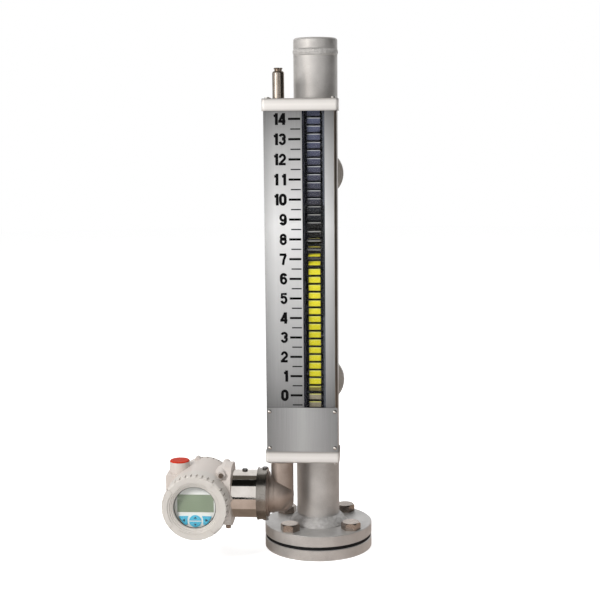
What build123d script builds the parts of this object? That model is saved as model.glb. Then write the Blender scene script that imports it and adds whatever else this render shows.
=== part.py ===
from build123d import *
import math
import os

# Magnetic level gauge with a magnetostrictive level transmitter, in millimetres
# The chamber axis is X = Y = 0, the indicator faces -Y and the transmitter arm runs along -X

# Clearances
running_clearance = 0.05
seat_clearance = 0.1
soft_clearance = 0.3
cut_margin = 2.0

# Chamber
chamber_od = 60.3
chamber_wall = 2.77
chamber_above_header = 80.0
cap_height = 19.6
cap_knuckle = 3.6
cap_crown_rise = 1.0
cap_wall = 3.0
bead_height = 7.0
bead_proud = 0.8

# Bottom flanges and their bolts
flange_od = 152.4
flange_thickness = 15.5
blind_thickness = 15.5
flange_edge = 0.8
gasket_thickness = 4.4
gasket_inset = 1.2
socket_depth = 11.0
weld_base_radius = 41.5
weld_height = 12.5
weld_sag = -0.7
bolt_edge_distance = 15.875
bolt_count = 4
bolt_turn = 7.0
bolt_head_turns = (54.7, 20.0, 50.3, 59.0)
bolt_diameter = 15.875
bolt_hole = 19.0
bolt_across_flats = 23.8
bolt_head_height = 10.2
bolt_grip_in_blind = 13.5
drain_radius = 10.4
drain_inset = 1.0
drain_hex = 10.0
drain_hex_depth = 7.0

# Process connections behind the chamber
process_centres = 304.8
lower_process_z = 223.0
nozzle_od = 21.3
nozzle_bore = 15.8
process_flange_od = 70.0
process_flange_thickness = 12.0
process_face_y = 100.0
process_bolt_circle = 50.0
process_bolt_count = 4
process_hole = 11.0
raised_face_od = 35.0
raised_face_height = 1.6
neck_weld = 5.0

# Float
float_od = 50.8
float_length = 190.0
float_wall = 0.8
float_dome = 7.0
magnet_ring_height = 12.0
magnet_ring_id = 34.0
magnet_below_top = 14.0
stop_od = 46.0
stop_wall = 2.5
stop_height = 41.6
stop_slot = 12.0
stop_slots = 4

# Indicator header
header_left = -66.0
header_right = 31.0
header_back = -34.0
header_front = -70.0
header_low = 154.5
header_high = 616.0
header_wall = 2.5
header_bevel = 3.0
plate_thickness = 1.6
plate_right_lip = 3.5
lip_width = 8.0
channel_width = 30.0
channel_clearance = 0.2
rib_width = 4.0
glass_thickness = 2.4
rib_joint = 1.5
port_radius = 3.2
port_hole = 1.6
port_overlap = 1.0
cap_thickness = 16.5
cap_overhang = 2.2
cap_socket = 3.0
cap_corner = 4.0
top_cap_edge = 1.0
bottom_cap_edge = 3.2
cap_screw_head = 3.0
cap_screw_head_height = 1.8
cap_screw_depth = 10.0
nameplate_high = 216.0
nameplate_thickness = 1.2
nameplate_screw_inset_x = 4.0
nameplate_screw_inset_z = 5.5
nameplate_screw_head = 2.8
nameplate_screw_dome = 1.7
nameplate_screw_shank = 1.5
nameplate_screw_depth = 3.4
saddle_width = 36.0
saddle_height = 34.0
saddle_offset = 70.0

# Indicator flags
flag_pitch = 10.72
flag_first_z = 217.64
flag_count = 38
flag_fixed_count = 12
flag_moving_count = 14
flag_width = 19.2
flag_top_width = 18.6
flag_bottom_width = 16.4
flag_above_axis = 3.6
flag_height = 8.7
flag_depth = 4.8
flag_chamfer = 0.9
flag_pin_radius = 1.0
flag_cone_radius = 2.1
flag_cone_length = 1.2
flag_pin_bite = 1.6
flag_axis_y = -56.5
rail_wall = 2.6
rail_web = 2.0
rail_web_gap = 1.9
rail_end_gap = 6.0
flag_turned_count = 20
rest_angles = {2: 212.0, 17: 174.0, 18: 126.0, 19: 110.0, 20: 78.0, 21: 56.0, 22: 24.0}

# Probe
probe_x = -47.0
probe_y = -52.0
probe_od = 15.875
probe_wall = 0.9
probe_hole_clearance = 0.35
probe_plug_z = 646.6
probe_shoulder_z = 665.0
probe_top_z = 672.8
probe_neck_radius = 4.7
probe_head_radius = 6.2
probe_head_height = 3.4
probe_slot_width = 2.4
probe_slot_depth = 3.8
probe_stem = 8.0
waveguide_radius = 1.5
waveguide_low = 92.0

# Elbow, clamp ring and polished can
arm_z = 89.5
elbow_tube_radius = 15.5
elbow_top = 137.0
elbow_body_radius = 25.2
elbow_corner_proud = 0.3
elbow_heel_drop = 24.6
elbow_heel_round = 14.2
elbow_bore = 12.0
elbow_wire_bore = 5.5
elbow_seat_z = 106.0
hub_radius = 26.4
hub_right = -58.0
hub_left = -65.0
elbow_flange_left = -74.0
elbow_flange_right = -67.5
can_radius = 33.0
can_wall = 2.0
can_left = -116.0
can_end_wall = 2.0
ring_left = -81.0
ring_wall = 2.6
ring_lip = 0.7
ring_lip_width = 1.6
arm_screw_head = 3.8
arm_screw_head_height = 2.2
arm_screw_shank = 2.0
arm_screw_depth = 6.0
can_screw_x = -99.0

# Transmitter housing
barrel_x = -161.5
barrel_drop = 3.4
barrel_radius = 44.5
barrel_front = -86.0
barrel_rear = -16.0
barrel_rear_edge = 2.5
barrel_front_edge = 1.0
base_thickness = 10.0
base_half_height = 42.0
base_rear = -18.5
base_corner = 24.0
base_taper = 30.0
base_taper_length = 22.0
base_edge_step = 3.0
spigot_length = 22.0
spigot_wall = 3.0
spigot_groove = 1.2
front_bore = 38.5
rear_bore = 35.2
partition_front = -68.5
partition_rear = -62.5
collar_length = 10.0
front_collar_radius = 41.2
rear_collar_radius = 38.3
wire_hole = 5.0
entry_offset = -28.8
entry_y = -52.0
entry_radius = 14.0
entry_rise = 48.7
entry_bore = 10.0
lower_entry_drop = 46.5
entry_block_side = 16.8
entry_block_rise = 33.0
entry_block_front = 20.0
entry_block_rear = 16.0
entry_block_step = 11.0
board_boss = 4.0
board_boss_circle = 28.0
rear_lug_radius = 3.8
rear_lug_length = 12.0
rear_lug_offset = -8.0
rear_lug_rise = 43.6

# Covers
front_cover_radius = 45.0
front_cover_face = -116.8
front_face_radius = 42.0
cover_gap = 0.3
window_radius = 29.0
bezel_radius = 35.2
bezel_depth = 4.4
bezel_steps = 3
glass_seat = 6.4
cover_glass_radius = 34.4
cover_glass_thickness = 6.0
skirt_start = 11.4
pad_height = 1.2
pad_inner = 36.6
pad_outer = 43.4
pad_count = 4
pad_span = 76.0
pad_notches = 8
notch_pitch = 10.0
notch_width = 2.2
notch_depth = 1.5
notch_length = 13.0
rear_cover_radius = 42.0
rear_cover_thickness = 4.5
rear_cover_end = 0.0
rear_notches = 32
seal_section = 1.25
flat_seal_thickness = 1.2

# Inside the housing
board_radius = 35.0
board_thickness = 1.6
board_standoff = 12.0
display_radius = 33.5
display_face_radius = 36.5
display_face_thickness = 3.0
display_gap = 1.0
lcd_width = 50.0
lcd_height = 24.8
lcd_offset_z = 3.9
lcd_recess = 1.2
terminal_width = 50.0
terminal_height = 26.0
terminal_depth = 15.0
terminal_screw_radius = 3.2
terminal_screw_height = 1.6
terminal_pitch = 11.5
terminal_count = 4
entry_plug_head = 13.7
entry_plug_head_height = 1.8
entry_plug_stem = 9.7
entry_plug_depth = 12.0
entry_plug_grip = 3.0
blanking_radius = 12.5
blanking_head = 3.0
blanking_hex = 10.0
lock_boss_radius = 5.6
lock_screw_radius = 3.4
lock_screw_head = 3.0
lock_screw_depth = 8.0
lock_x = -128.4
lock_z = 123.9
ground_x = -122.0
ground_y = -64.0
ground_head = 3.6
ground_head_height = 4.0
ground_depth = 7.0

# Sizes that follow from those above
chamber_radius = chamber_od / 2
chamber_bore_radius = chamber_radius - chamber_wall
gasket_z = blind_thickness
gasket_od = flange_od - 2 * gasket_inset
bolt_circle = flange_od - 2 * bolt_edge_distance
flange_z = gasket_z + gasket_thickness
flange_top = flange_z + flange_thickness
tube_low = flange_top - socket_depth
upper_process_z = lower_process_z + process_centres
chamber_top = header_high + chamber_above_header
float_crown = ((float_od / 2) ** 2 + float_dome**2) / (2 * float_dome)
stop_bore = stop_od / 2 - stop_wall
float_seat = float_crown - math.sqrt(float_crown**2 - stop_bore**2)
float_low = blind_thickness + stop_height + soft_clearance - float_seat
float_high = float_low + float_length
plate_front = header_front
plate_back = header_front + plate_thickness
glass_back = plate_back + glass_thickness
channel_half = channel_width / 2
rib_inner = channel_half + channel_clearance
rib_outer = rib_inner + rib_width
pocket_back = header_back - header_wall
rail_half = channel_half
rail_front = glass_back + seat_clearance
swing_radius = math.hypot(flag_height - flag_above_axis, flag_depth / 2)
web_front = flag_axis_y + swing_radius + rail_web_gap
probe_radius = probe_od / 2
can_bore = can_radius - can_wall
spigot_radius = can_bore - running_clearance
base_left = can_left - base_thickness
barrel_z = arm_z - barrel_drop
base_front = barrel_front
arm_y = probe_y
entry_x = barrel_x + entry_offset
entry_top = barrel_z + entry_rise
lower_entry_z = barrel_z - lower_entry_drop
entry_block_top = barrel_z + entry_block_rise
glass_front_y = front_cover_face + glass_seat
glass_rear_y = glass_front_y + cover_glass_thickness
display_face_y = glass_rear_y + display_gap
board_front_y = partition_front - board_standoff - board_thickness
port_inset = port_radius - port_overlap
header_ports = [
    (x, y)
    for x in (header_left + header_wall + port_inset, header_right - header_wall - port_inset)
    for y in (pocket_back - port_inset, glass_back + port_inset)
]


def rod_z(radius, low, high, x=0.0, y=0.0):
    """Upright cylinder between two heights."""
    return Pos(x, y, (low + high) / 2) * Cylinder(radius, high - low)


def rod_x(radius, left, right, y, z):
    """Cylinder lying along X."""
    return Pos((left + right) / 2, y, z) * Rot(0, 90, 0) * Cylinder(radius, right - left)


def rod_y(radius, front, rear, x, z):
    """Cylinder lying along Y."""
    return Pos(x, (front + rear) / 2, z) * Rot(90, 0, 0) * Cylinder(radius, rear - front)


def block(left, right, front, rear, low, high):
    """Rectangular block between its six faces."""
    centre = ((left + right) / 2, (front + rear) / 2, (low + high) / 2)
    return Pos(*centre) * Box(right - left, rear - front, high - low)


def turned_z(lines, x=0.0, y=0.0):
    """Solid turned about an upright axis from lines in (radius, height)."""
    profile = make_face(Plane.XZ * (Curve() + lines))
    return Pos(x, y, 0) * revolve(profile, Axis.Z, 360)


def turned_y(points, x, z):
    """Solid turned about an axis along Y from points in (radius, Y)."""
    profile = make_face(Polyline(*points, close=True))
    return Pos(x, 0, z) * revolve(profile, Axis.Y, 360)


def around(count, radius, turn=0.0):
    """Places on a circle as (x, y, angle in degrees)."""
    angles = [turn + 360 / count * (index + 0.5) for index in range(count)]
    return [(radius * math.cos(math.radians(a)), radius * math.sin(math.radians(a)), a) for a in angles]


def hex_prism(across_flats, height):
    """Hexagon prism standing on Z = 0."""
    return extrude(RegularPolygon(across_flats / math.sqrt(3), 6), height)


def merged(shapes):
    """One solid from touching or crossing shapes."""
    result = shapes[0]
    for shape in shapes[1:]:
        result = result + shape
    return result


def save(name, shape):
    """Write one node as a STEP file."""
    export_step(shape, os.path.join("parts", name + ".step"))


# Chamber


def chamber_tube():
    tube = rod_z(chamber_radius, tube_low, chamber_top)
    tube -= rod_z(chamber_bore_radius, tube_low - cut_margin, chamber_top + cut_margin)
    for z in (lower_process_z, upper_process_z):
        tube -= rod_y(nozzle_bore / 2, 0, chamber_radius + cut_margin, 0, z)
    return tube


def crown_arc(radius, base, rise, reverse=False):
    """Shallow arc from the axis at its top down to a radius."""
    crown = (radius**2 + rise**2) / (2 * rise)
    half_angle = math.asin(radius / crown) / 2
    middle = (crown * math.sin(half_angle), base + rise - crown * (1 - math.cos(half_angle)))
    ends = [(0, base + rise), (radius, base)]
    if reverse:
        ends.reverse()
    return ThreePointArc(ends[0], middle, ends[1])


def knuckle_arc(radius, shoulder, knuckle, reverse=False):
    """Quarter arc from the skirt of a dished head to its crown."""
    bend = math.radians(45)
    middle = (radius - knuckle + knuckle * math.sin(bend), shoulder + knuckle * math.cos(bend))
    ends = [(radius, shoulder), (radius - knuckle, shoulder + knuckle)]
    if reverse:
        ends.reverse()
    return ThreePointArc(ends[0], middle, ends[1])


def chamber_cap():
    """Dished pipe cap with the weld bead that joins it to the tube."""
    outside = chamber_radius
    inside = chamber_radius - cap_wall
    bead_inside = chamber_radius + running_clearance
    half = bead_height / 2
    knuckle = cap_knuckle - cap_wall / 2
    shoulder = chamber_top + cap_height - cap_crown_rise - cap_knuckle
    inner_shoulder = shoulder + cap_knuckle - cap_wall - knuckle
    crown_base = shoulder + cap_knuckle
    inner_base = crown_base - cap_wall
    lines = [
        Line((inside, chamber_top), (bead_inside, chamber_top)),
        Line((bead_inside, chamber_top), (bead_inside, chamber_top - half)),
        ThreePointArc(
            (bead_inside, chamber_top - half),
            (bead_inside + bead_proud, chamber_top),
            (outside, chamber_top + half),
        ),
        Line((outside, chamber_top + half), (outside, shoulder)),
        knuckle_arc(outside, shoulder, cap_knuckle),
        crown_arc(outside - cap_knuckle, crown_base, cap_crown_rise, reverse=True),
        Line((0, crown_base + cap_crown_rise), (0, inner_base + cap_crown_rise)),
        crown_arc(inside - knuckle, inner_base, cap_crown_rise),
        knuckle_arc(inside, inner_shoulder, knuckle, reverse=True),
        Line((inside, inner_shoulder), (inside, chamber_top)),
    ]
    return turned_z(lines)


def chamber_flange():
    """Socket weld flange with its fillet weld, drilled for the bolts."""
    inside = chamber_radius + running_clearance
    weld_top = flange_top + weld_height
    middle = ((inside + weld_base_radius) / 2 - weld_sag, flange_top + weld_height / 2 - weld_sag)
    lines = [
        Line((chamber_bore_radius, flange_z), (flange_od / 2, flange_z)),
        Line((flange_od / 2, flange_z), (flange_od / 2, flange_top)),
        Line((flange_od / 2, flange_top), (weld_base_radius, flange_top)),
        ThreePointArc((weld_base_radius, flange_top), middle, (inside + 1.0, weld_top)),
        Line((inside + 1.0, weld_top), (inside, weld_top)),
        Line((inside, weld_top), (inside, tube_low)),
        Line((inside, tube_low), (chamber_bore_radius, tube_low)),
        Line((chamber_bore_radius, tube_low), (chamber_bore_radius, flange_z)),
    ]
    body = turned_z(lines)
    rim = body.edges().filter_by(GeomType.CIRCLE).filter_by(lambda e: abs(e.radius - flange_od / 2) < 0.01)
    body = chamfer(rim, flange_edge)
    for x, y, _ in around(bolt_count, bolt_circle / 2, bolt_turn):
        body -= rod_z(bolt_hole / 2, flange_z - cut_margin, flange_top + cut_margin, x, y)
    return body


def flange_gasket():
    sheet = rod_z(gasket_od / 2, gasket_z, flange_z)
    sheet -= rod_z(chamber_bore_radius, gasket_z - cut_margin, flange_z + cut_margin)
    for x, y, _ in around(bolt_count, bolt_circle / 2, bolt_turn):
        sheet -= rod_z(bolt_hole / 2, gasket_z - cut_margin, flange_z + cut_margin, x, y)
    return sheet


def blind_flange():
    """Blind flange with tapped bolt holes and a drain hole in its middle."""
    plate = chamfer(
        rod_z(flange_od / 2, 0, blind_thickness).edges().filter_by(GeomType.CIRCLE),
        flange_edge,
    )
    plate -= rod_z(drain_radius + running_clearance, -cut_margin, blind_thickness + cut_margin)
    tapped_low = blind_thickness - bolt_grip_in_blind - 0.5
    for x, y, _ in around(bolt_count, bolt_circle / 2, bolt_turn):
        plate -= rod_z(
            bolt_diameter / 2 + running_clearance,
            tapped_low,
            blind_thickness + cut_margin,
            x,
            y,
        )
    return plate


def flange_bolts():
    """Hexagon bolts with chamfered heads that sit on the upper flange."""
    corner_radius = bolt_across_flats / math.sqrt(3)
    crown = rod_z(corner_radius, 0, bolt_head_height)
    crown = chamfer(crown.edges().group_by(Axis.Z)[-1], bolt_head_height * 0.2, corner_radius * 0.14)
    head = Pos(0, 0, flange_top) * (hex_prism(bolt_across_flats, bolt_head_height) & crown)
    bolt = head + rod_z(bolt_diameter / 2, blind_thickness - bolt_grip_in_blind, flange_top + 1)
    places = around(bolt_count, bolt_circle / 2, bolt_turn)
    turns = [bolt_head_turns[index % len(bolt_head_turns)] for index in range(bolt_count)]
    return Compound([Pos(x, y, 0) * Rot(0, 0, turn) * bolt for (x, y, _), turn in zip(places, turns)])


def drain_plug():
    """Threaded plug with a hexagon socket, set just inside the blind flange."""
    plug = rod_z(drain_radius, drain_inset, blind_thickness - drain_inset)
    return plug - Pos(0, 0, drain_inset - 0.01) * hex_prism(drain_hex, drain_hex_depth)


def process_flange(z):
    """Weld neck flange on its nozzle, contoured to the back of the chamber."""
    flange_front = process_face_y - raised_face_height - process_flange_thickness
    flange_rear = process_face_y - raised_face_height
    nozzle = nozzle_od / 2
    profile = [
        (0, 0),
        (nozzle, 0),
        (nozzle, flange_front - neck_weld),
        (nozzle + neck_weld, flange_front),
        (process_flange_od / 2, flange_front),
        (process_flange_od / 2, flange_rear),
        (raised_face_od / 2, flange_rear),
        (raised_face_od / 2, process_face_y),
        (0, process_face_y),
    ]
    body = turned_y(profile, 0, z)
    body -= rod_y(nozzle_bore / 2, -cut_margin, process_face_y + cut_margin, 0, z)
    body -= rod_z(chamber_radius + running_clearance, z - nozzle_od, z + nozzle_od)
    for x, dz, _ in around(process_bolt_count, process_bolt_circle / 2):
        body -= rod_y(process_hole / 2, flange_front - cut_margin, process_face_y, x, z + dz)
    return body


def header_saddles():
    """Two saddle blocks between the chamber and the back of the header."""
    middle = (header_low + header_high) / 2
    blocks = []
    for direction in (-1, 1):
        z = middle + direction * ((header_high - header_low) / 2 - saddle_offset)
        saddle = block(
            -saddle_width / 2,
            saddle_width / 2,
            header_back,
            -chamber_radius * 0.55,
            z - saddle_height / 2,
            z + saddle_height / 2,
        )
        blocks.append(
            saddle - rod_z(chamber_radius + running_clearance, z - saddle_height, z + saddle_height)
        )
    return Compound(blocks)


# Float and its stop


def float_stop():
    """Slotted ring that stands on the blind flange and carries the float."""
    ring = rod_z(stop_od / 2, blind_thickness, blind_thickness + stop_height)
    ring -= rod_z(
        stop_od / 2 - stop_wall,
        blind_thickness - cut_margin,
        blind_thickness + stop_height + cut_margin,
    )
    slot_top = blind_thickness + stop_height * 0.55
    for index in range(stop_slots // 2):
        slot = block(
            -stop_od, stop_od, -stop_slot / 2, stop_slot / 2, blind_thickness - cut_margin, slot_top
        )
        ring -= Rot(0, 0, index * 360 / stop_slots) * slot
    return ring


def capsule(radius, low, high, dome):
    """Closed can with low domed ends."""
    upper = crown_arc(radius, high - dome, dome)
    crown = (radius**2 + dome**2) / (2 * dome)
    half_angle = math.asin(radius / crown) / 2
    lower_mid = (crown * math.sin(half_angle), low + crown * (1 - math.cos(half_angle)))
    return turned_z(
        [
            Line((0, low), (0, high)),
            upper,
            Line((radius, high - dome), (radius, low + dome)),
            ThreePointArc((radius, low + dome), lower_mid, (0, low)),
        ]
    )


def float_shell():
    """Sealed hollow float."""
    outer = capsule(float_od / 2, float_low, float_high, float_dome)
    inner = capsule(
        float_od / 2 - float_wall, float_low + float_wall, float_high - float_wall, float_dome
    )
    return outer - inner


def float_magnets():
    """Ring magnet inside the float, level with the mark that the float shows."""
    middle = float_high - magnet_below_top
    outer = float_od / 2 - float_wall - running_clearance
    ring = rod_z(outer, middle - magnet_ring_height / 2, middle + magnet_ring_height / 2)
    ring -= rod_z(magnet_ring_id / 2, middle - magnet_ring_height, middle + magnet_ring_height)
    return ring


# Indicator header


def header_section():
    """Section of the header extrusion seen from above."""
    inner_left = header_left + header_wall
    inner_right = header_right - header_wall
    outline = Rectangle(header_right - header_left, header_back - header_front)
    outline = Pos((header_left + header_right) / 2, (header_front + header_back) / 2) * outline
    corner = outline.vertices().sort_by(Axis.X)[-2:].sort_by(Axis.Y)[0]
    section = chamfer(corner, header_bevel)

    def window(left, right, front, rear):
        return Pos((left + right) / 2, (front + rear) / 2) * Rectangle(right - left, rear - front)

    plate_right = header_right - plate_right_lip
    section -= window(header_left - 1, plate_right, header_front - 1, plate_back)
    section -= window(-rib_inner, rib_inner, header_front - 1, pocket_back)
    section -= window(-rib_outer, rib_outer, header_front - 1, glass_back)
    lip_back = plate_back + header_wall
    section -= window(inner_left, -rib_outer, lip_back, pocket_back)
    section -= window(header_left + lip_width, -rib_outer, header_front - 1, lip_back)
    section -= window(rib_outer, inner_right, glass_back + rib_joint, pocket_back)
    for x, y in header_ports:
        section += Pos(x, y) * Circle(port_radius)
    for x, y in header_ports:
        section -= Pos(x, y) * Circle(port_hole)
    return section


def header_screw_places():
    """Places of the nameplate screws as (x, z)."""
    left = header_left + nameplate_screw_inset_x
    right = header_right - nameplate_screw_inset_x
    low = header_low + nameplate_screw_inset_z
    high = nameplate_high - nameplate_screw_inset_z
    return [(x, z) for x in (left, right) for z in (low, high)]


def header_body():
    low = header_low - cap_socket
    high = header_high + cap_socket
    body = Pos(0, 0, low) * extrude(header_section(), high - low)
    for x, z in header_screw_places():
        body -= rod_y(
            nameplate_screw_shank + running_clearance,
            header_front - 1,
            header_front + nameplate_screw_depth + 0.4,
            x,
            z,
        )
    return body


def end_cap(low, high, opening_z, rounded_end, edge):
    """Moulded end cap with a shallow socket for the header and a hole for the probe."""
    left = header_left - cap_overhang
    right = header_right + cap_overhang
    front = header_front - nameplate_thickness - 0.5
    rear = header_back + cap_overhang
    cap = block(left, right, front, rear, low, high)
    cap = fillet(cap.edges().filter_by(Axis.Z), cap_corner)
    cap = fillet(cap.faces().sort_by(Axis.Z)[rounded_end].edges(), edge)
    gap = seat_clearance
    cap -= block(
        header_left - gap,
        header_right + gap,
        header_front - gap,
        header_back + gap,
        min(opening_z, opening_z + cap_socket) if rounded_end == -1 else opening_z - cap_socket,
        max(opening_z, opening_z + cap_socket) if rounded_end == -1 else opening_z,
    )
    cap -= rod_z(probe_radius + probe_hole_clearance, low - cut_margin, high + cut_margin, probe_x, probe_y)
    for x, y in header_ports:
        cap -= rod_z(port_hole + running_clearance, low - cut_margin, high + cut_margin, x, y)
    return cap


def top_end_cap():
    return end_cap(header_high, header_high + cap_thickness, header_high, -1, top_cap_edge)


def bottom_end_cap():
    return end_cap(header_low - cap_thickness, header_low, header_low, 0, bottom_cap_edge)


def end_cap_screws():
    """Pan head screws that hold both end caps in the ports of the extrusion."""
    screws = []
    ends = (
        (header_high + cap_thickness, 1, header_high + cap_socket),
        (header_low - cap_thickness, -1, header_low - cap_socket),
    )
    for seat, way, body_end in ends:
        tip = body_end - way * cap_screw_depth
        head_end = seat + way * cap_screw_head_height
        for x, y in header_ports:
            shank = rod_z(port_hole - running_clearance, min(tip, seat), max(tip, seat), x, y)
            head = rod_z(cap_screw_head, min(seat, head_end), max(seat, head_end), x, y)
            screws.append(shank + head)
    return Compound(screws)


def scale_plate():
    """Printed plate on the front of the header with the slot for the flags."""
    right = header_right - plate_right_lip
    plate = block(header_left, right, plate_front, plate_back, header_low, header_high)
    slot_low = nameplate_high - 10
    plate -= block(-channel_half, channel_half, plate_front - 1, plate_back + 1, slot_low, header_high + 1)
    for x, z in header_screw_places():
        plate -= rod_y(nameplate_screw_shank + running_clearance, plate_front - 1, plate_back + 1, x, z)
    return plate


def flag_window():
    """Clear strip between the scale plate and the ribs of the header."""
    half = rib_outer - seat_clearance
    return block(-half, half, plate_back, glass_back, header_low + cap_socket, header_high - seat_clearance)


def flag_z(index):
    return flag_first_z + index * flag_pitch


def flag_angle(index):
    """Angle of a flag at rest, 180 where its bright face is to the front."""
    if index in rest_angles:
        return rest_angles[index]
    return 180.0 if index < flag_turned_count else 0.0


def flag_blank(index, pin_reach):
    """Flag at rest: tapered bar with a cone and a pin at each end, dark face to the front."""
    high = flag_above_axis
    low = high - flag_height
    half = flag_width / 2
    outline = Polyline(
        (flag_top_width / 2, high),
        (half, 0),
        (flag_bottom_width / 2, low),
        (-flag_bottom_width / 2, low),
        (-half, 0),
        (-flag_top_width / 2, high),
        close=True,
    )
    bar = extrude(make_face(Plane.XZ * outline), flag_depth / 2, both=True)
    bar = chamfer(bar.edges().filter_by(Axis.X), flag_chamfer)
    profile = Polyline(
        (0, 0),
        (half + pin_reach, 0),
        (half + pin_reach, flag_pin_radius),
        (half + flag_cone_length, flag_pin_radius),
        (half, flag_cone_radius),
        (0, flag_cone_radius),
        close=True,
    )
    spindle = revolve(make_face(profile), Axis.X, 360)
    flag = bar + spindle + mirror(spindle, Plane.YZ)
    return Pos(0, flag_axis_y, flag_z(index)) * Rot(flag_angle(index), 0, 0) * flag


def rail_section():
    """H section of the flag rail: two side walls and a web behind the flags."""
    walls = Rectangle(2 * rail_half, pocket_back - rail_front)
    walls = Pos(0, (pocket_back + rail_front) / 2) * walls
    inner = rail_half - rail_wall
    front_gap = Pos(0, (rail_front + web_front) / 2) * Rectangle(2 * inner, web_front - rail_front)
    rear_edge = web_front + rail_web
    rear_gap = Pos(0, (rear_edge + pocket_back) / 2) * Rectangle(2 * inner, pocket_back - rear_edge)
    return walls - front_gap - rear_gap


def rail_piece(first, last, low, high):
    """One length of rail with a bearing hole each side of every flag."""
    rail = Pos(0, 0, low) * extrude(rail_section(), high - low)
    inner = rail_half - rail_wall
    depth = flag_pin_bite + seat_clearance + running_clearance
    for index in range(first, last):
        for side in (-1, 1):
            start = side * (inner - seat_clearance)
            end = side * (inner + depth)
            rail -= rod_x(
                flag_pin_radius + running_clearance,
                min(start, end),
                max(start, end),
                flag_axis_y,
                flag_z(index),
            )
    return rail


def moving_flag(index):
    reach = rail_half - rail_wall - flag_width / 2 + flag_pin_bite
    return flag_blank(index, reach)


def fixed_rail(first, last, low, high):
    """Length of rail made in one with its flags."""
    rail = Pos(0, 0, low) * extrude(rail_section(), high - low)
    reach = rail_half - rail_wall - flag_width / 2 + flag_pin_bite
    return merged([rail] + [flag_blank(index, reach) for index in range(first, last)])


def nameplate():
    plate = block(
        header_left,
        header_right,
        header_front - nameplate_thickness,
        header_front,
        header_low,
        nameplate_high,
    )
    plate = chamfer(plate.edges().filter_by(Axis.Y), 0.6)
    for x, z in header_screw_places():
        plate -= rod_y(
            nameplate_screw_shank + running_clearance,
            header_front - nameplate_thickness - 1,
            header_front + 1,
            x,
            z,
        )
    return plate


def nameplate_screws():
    """Dome head screws at the corners of the nameplate."""
    seat = header_front - nameplate_thickness
    screws = []
    for x, z in header_screw_places():
        dome_radius = (nameplate_screw_head**2 + nameplate_screw_dome**2) / (2 * nameplate_screw_dome)
        ball = Pos(x, seat - nameplate_screw_dome + dome_radius, z) * Sphere(dome_radius)
        dome = ball & rod_y(nameplate_screw_head, seat - nameplate_screw_dome - 1, seat, x, z)
        screws.append(
            dome + rod_y(nameplate_screw_shank, seat - 0.5, header_front + nameplate_screw_depth, x, z)
        )
    return Compound(screws)


# Probe and arm


def probe_tube():
    tube = rod_z(probe_radius, elbow_seat_z, probe_plug_z, probe_x, probe_y)
    return tube - rod_z(probe_radius - probe_wall, elbow_seat_z - 1, probe_plug_z + 1, probe_x, probe_y)


def probe_plug():
    """Top plug of the probe with a waisted, slotted head."""
    stem = probe_radius - probe_wall - running_clearance
    neck_z = probe_top_z - probe_head_height
    shoulder_end = (probe_neck_radius + 1.2, neck_z - 0.8)
    shoulder_mid = (probe_radius - 0.9, (probe_shoulder_z + neck_z) / 2 + 0.6)
    lines = [
        Line((0, probe_plug_z - probe_stem), (stem, probe_plug_z - probe_stem)),
        Line((stem, probe_plug_z - probe_stem), (stem, probe_plug_z)),
        Line((stem, probe_plug_z), (probe_radius, probe_plug_z)),
        Line((probe_radius, probe_plug_z), (probe_radius, probe_shoulder_z)),
        ThreePointArc((probe_radius, probe_shoulder_z), shoulder_mid, shoulder_end),
        Line(shoulder_end, (probe_neck_radius, neck_z + 0.4)),
        Line((probe_neck_radius, neck_z + 0.4), (probe_head_radius, probe_top_z - 1.2)),
        Line((probe_head_radius, probe_top_z - 1.2), (probe_head_radius - 0.6, probe_top_z)),
        Line((probe_head_radius - 0.6, probe_top_z), (0, probe_top_z)),
        Line((0, probe_top_z), (0, probe_plug_z - probe_stem)),
    ]
    plug = turned_z(lines, probe_x, probe_y)
    slot = Box(probe_od, probe_slot_width, 2 * probe_slot_depth)
    return plug - Pos(probe_x, probe_y, probe_top_z) * Rot(0, 0, -60) * slot


def waveguide():
    return rod_z(waveguide_radius, waveguide_low, probe_plug_z - probe_stem, probe_x, probe_y)


def elbow():
    """Cast elbow: upright socket for the probe, ball corner and flanged hub."""
    ball_x = probe_x + elbow_tube_radius + elbow_corner_proud - elbow_body_radius
    upright = rod_z(elbow_tube_radius, arm_z - elbow_heel_drop, elbow_top, probe_x, probe_y)
    upright = fillet(upright.edges().sort_by(Axis.Z)[0], elbow_heel_round)
    body = merged(
        [
            Pos(ball_x, arm_y, arm_z) * Sphere(elbow_body_radius),
            upright,
            rod_x(elbow_body_radius, hub_left, ball_x, arm_y, arm_z),
            rod_x(hub_radius, hub_left, hub_right, arm_y, arm_z),
            rod_x(can_bore, elbow_flange_right, hub_left, arm_y, arm_z),
            rod_x(can_radius, elbow_flange_left, elbow_flange_right, arm_y, arm_z),
        ]
    )
    body -= rod_x(can_radius + cut_margin, elbow_flange_left - can_radius, elbow_flange_left, arm_y, arm_z)
    body -= rod_z(probe_radius + running_clearance, elbow_seat_z, elbow_top + 1, probe_x, probe_y)
    body -= rod_z(elbow_wire_bore, arm_z, elbow_seat_z + 1, probe_x, probe_y)
    body -= rod_x(elbow_bore, elbow_flange_left - 1, probe_x, arm_y, arm_z)
    for way in (-1, 1):
        hole_low = way * (can_radius - arm_screw_depth + ring_wall)
        hole_high = way * (can_radius + cut_margin)
        body -= rod_z(
            arm_screw_shank + running_clearance,
            arm_z + min(hole_low, hole_high),
            arm_z + max(hole_low, hole_high),
            (elbow_flange_left + elbow_flange_right) / 2,
            arm_y,
        )
    return body


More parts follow.
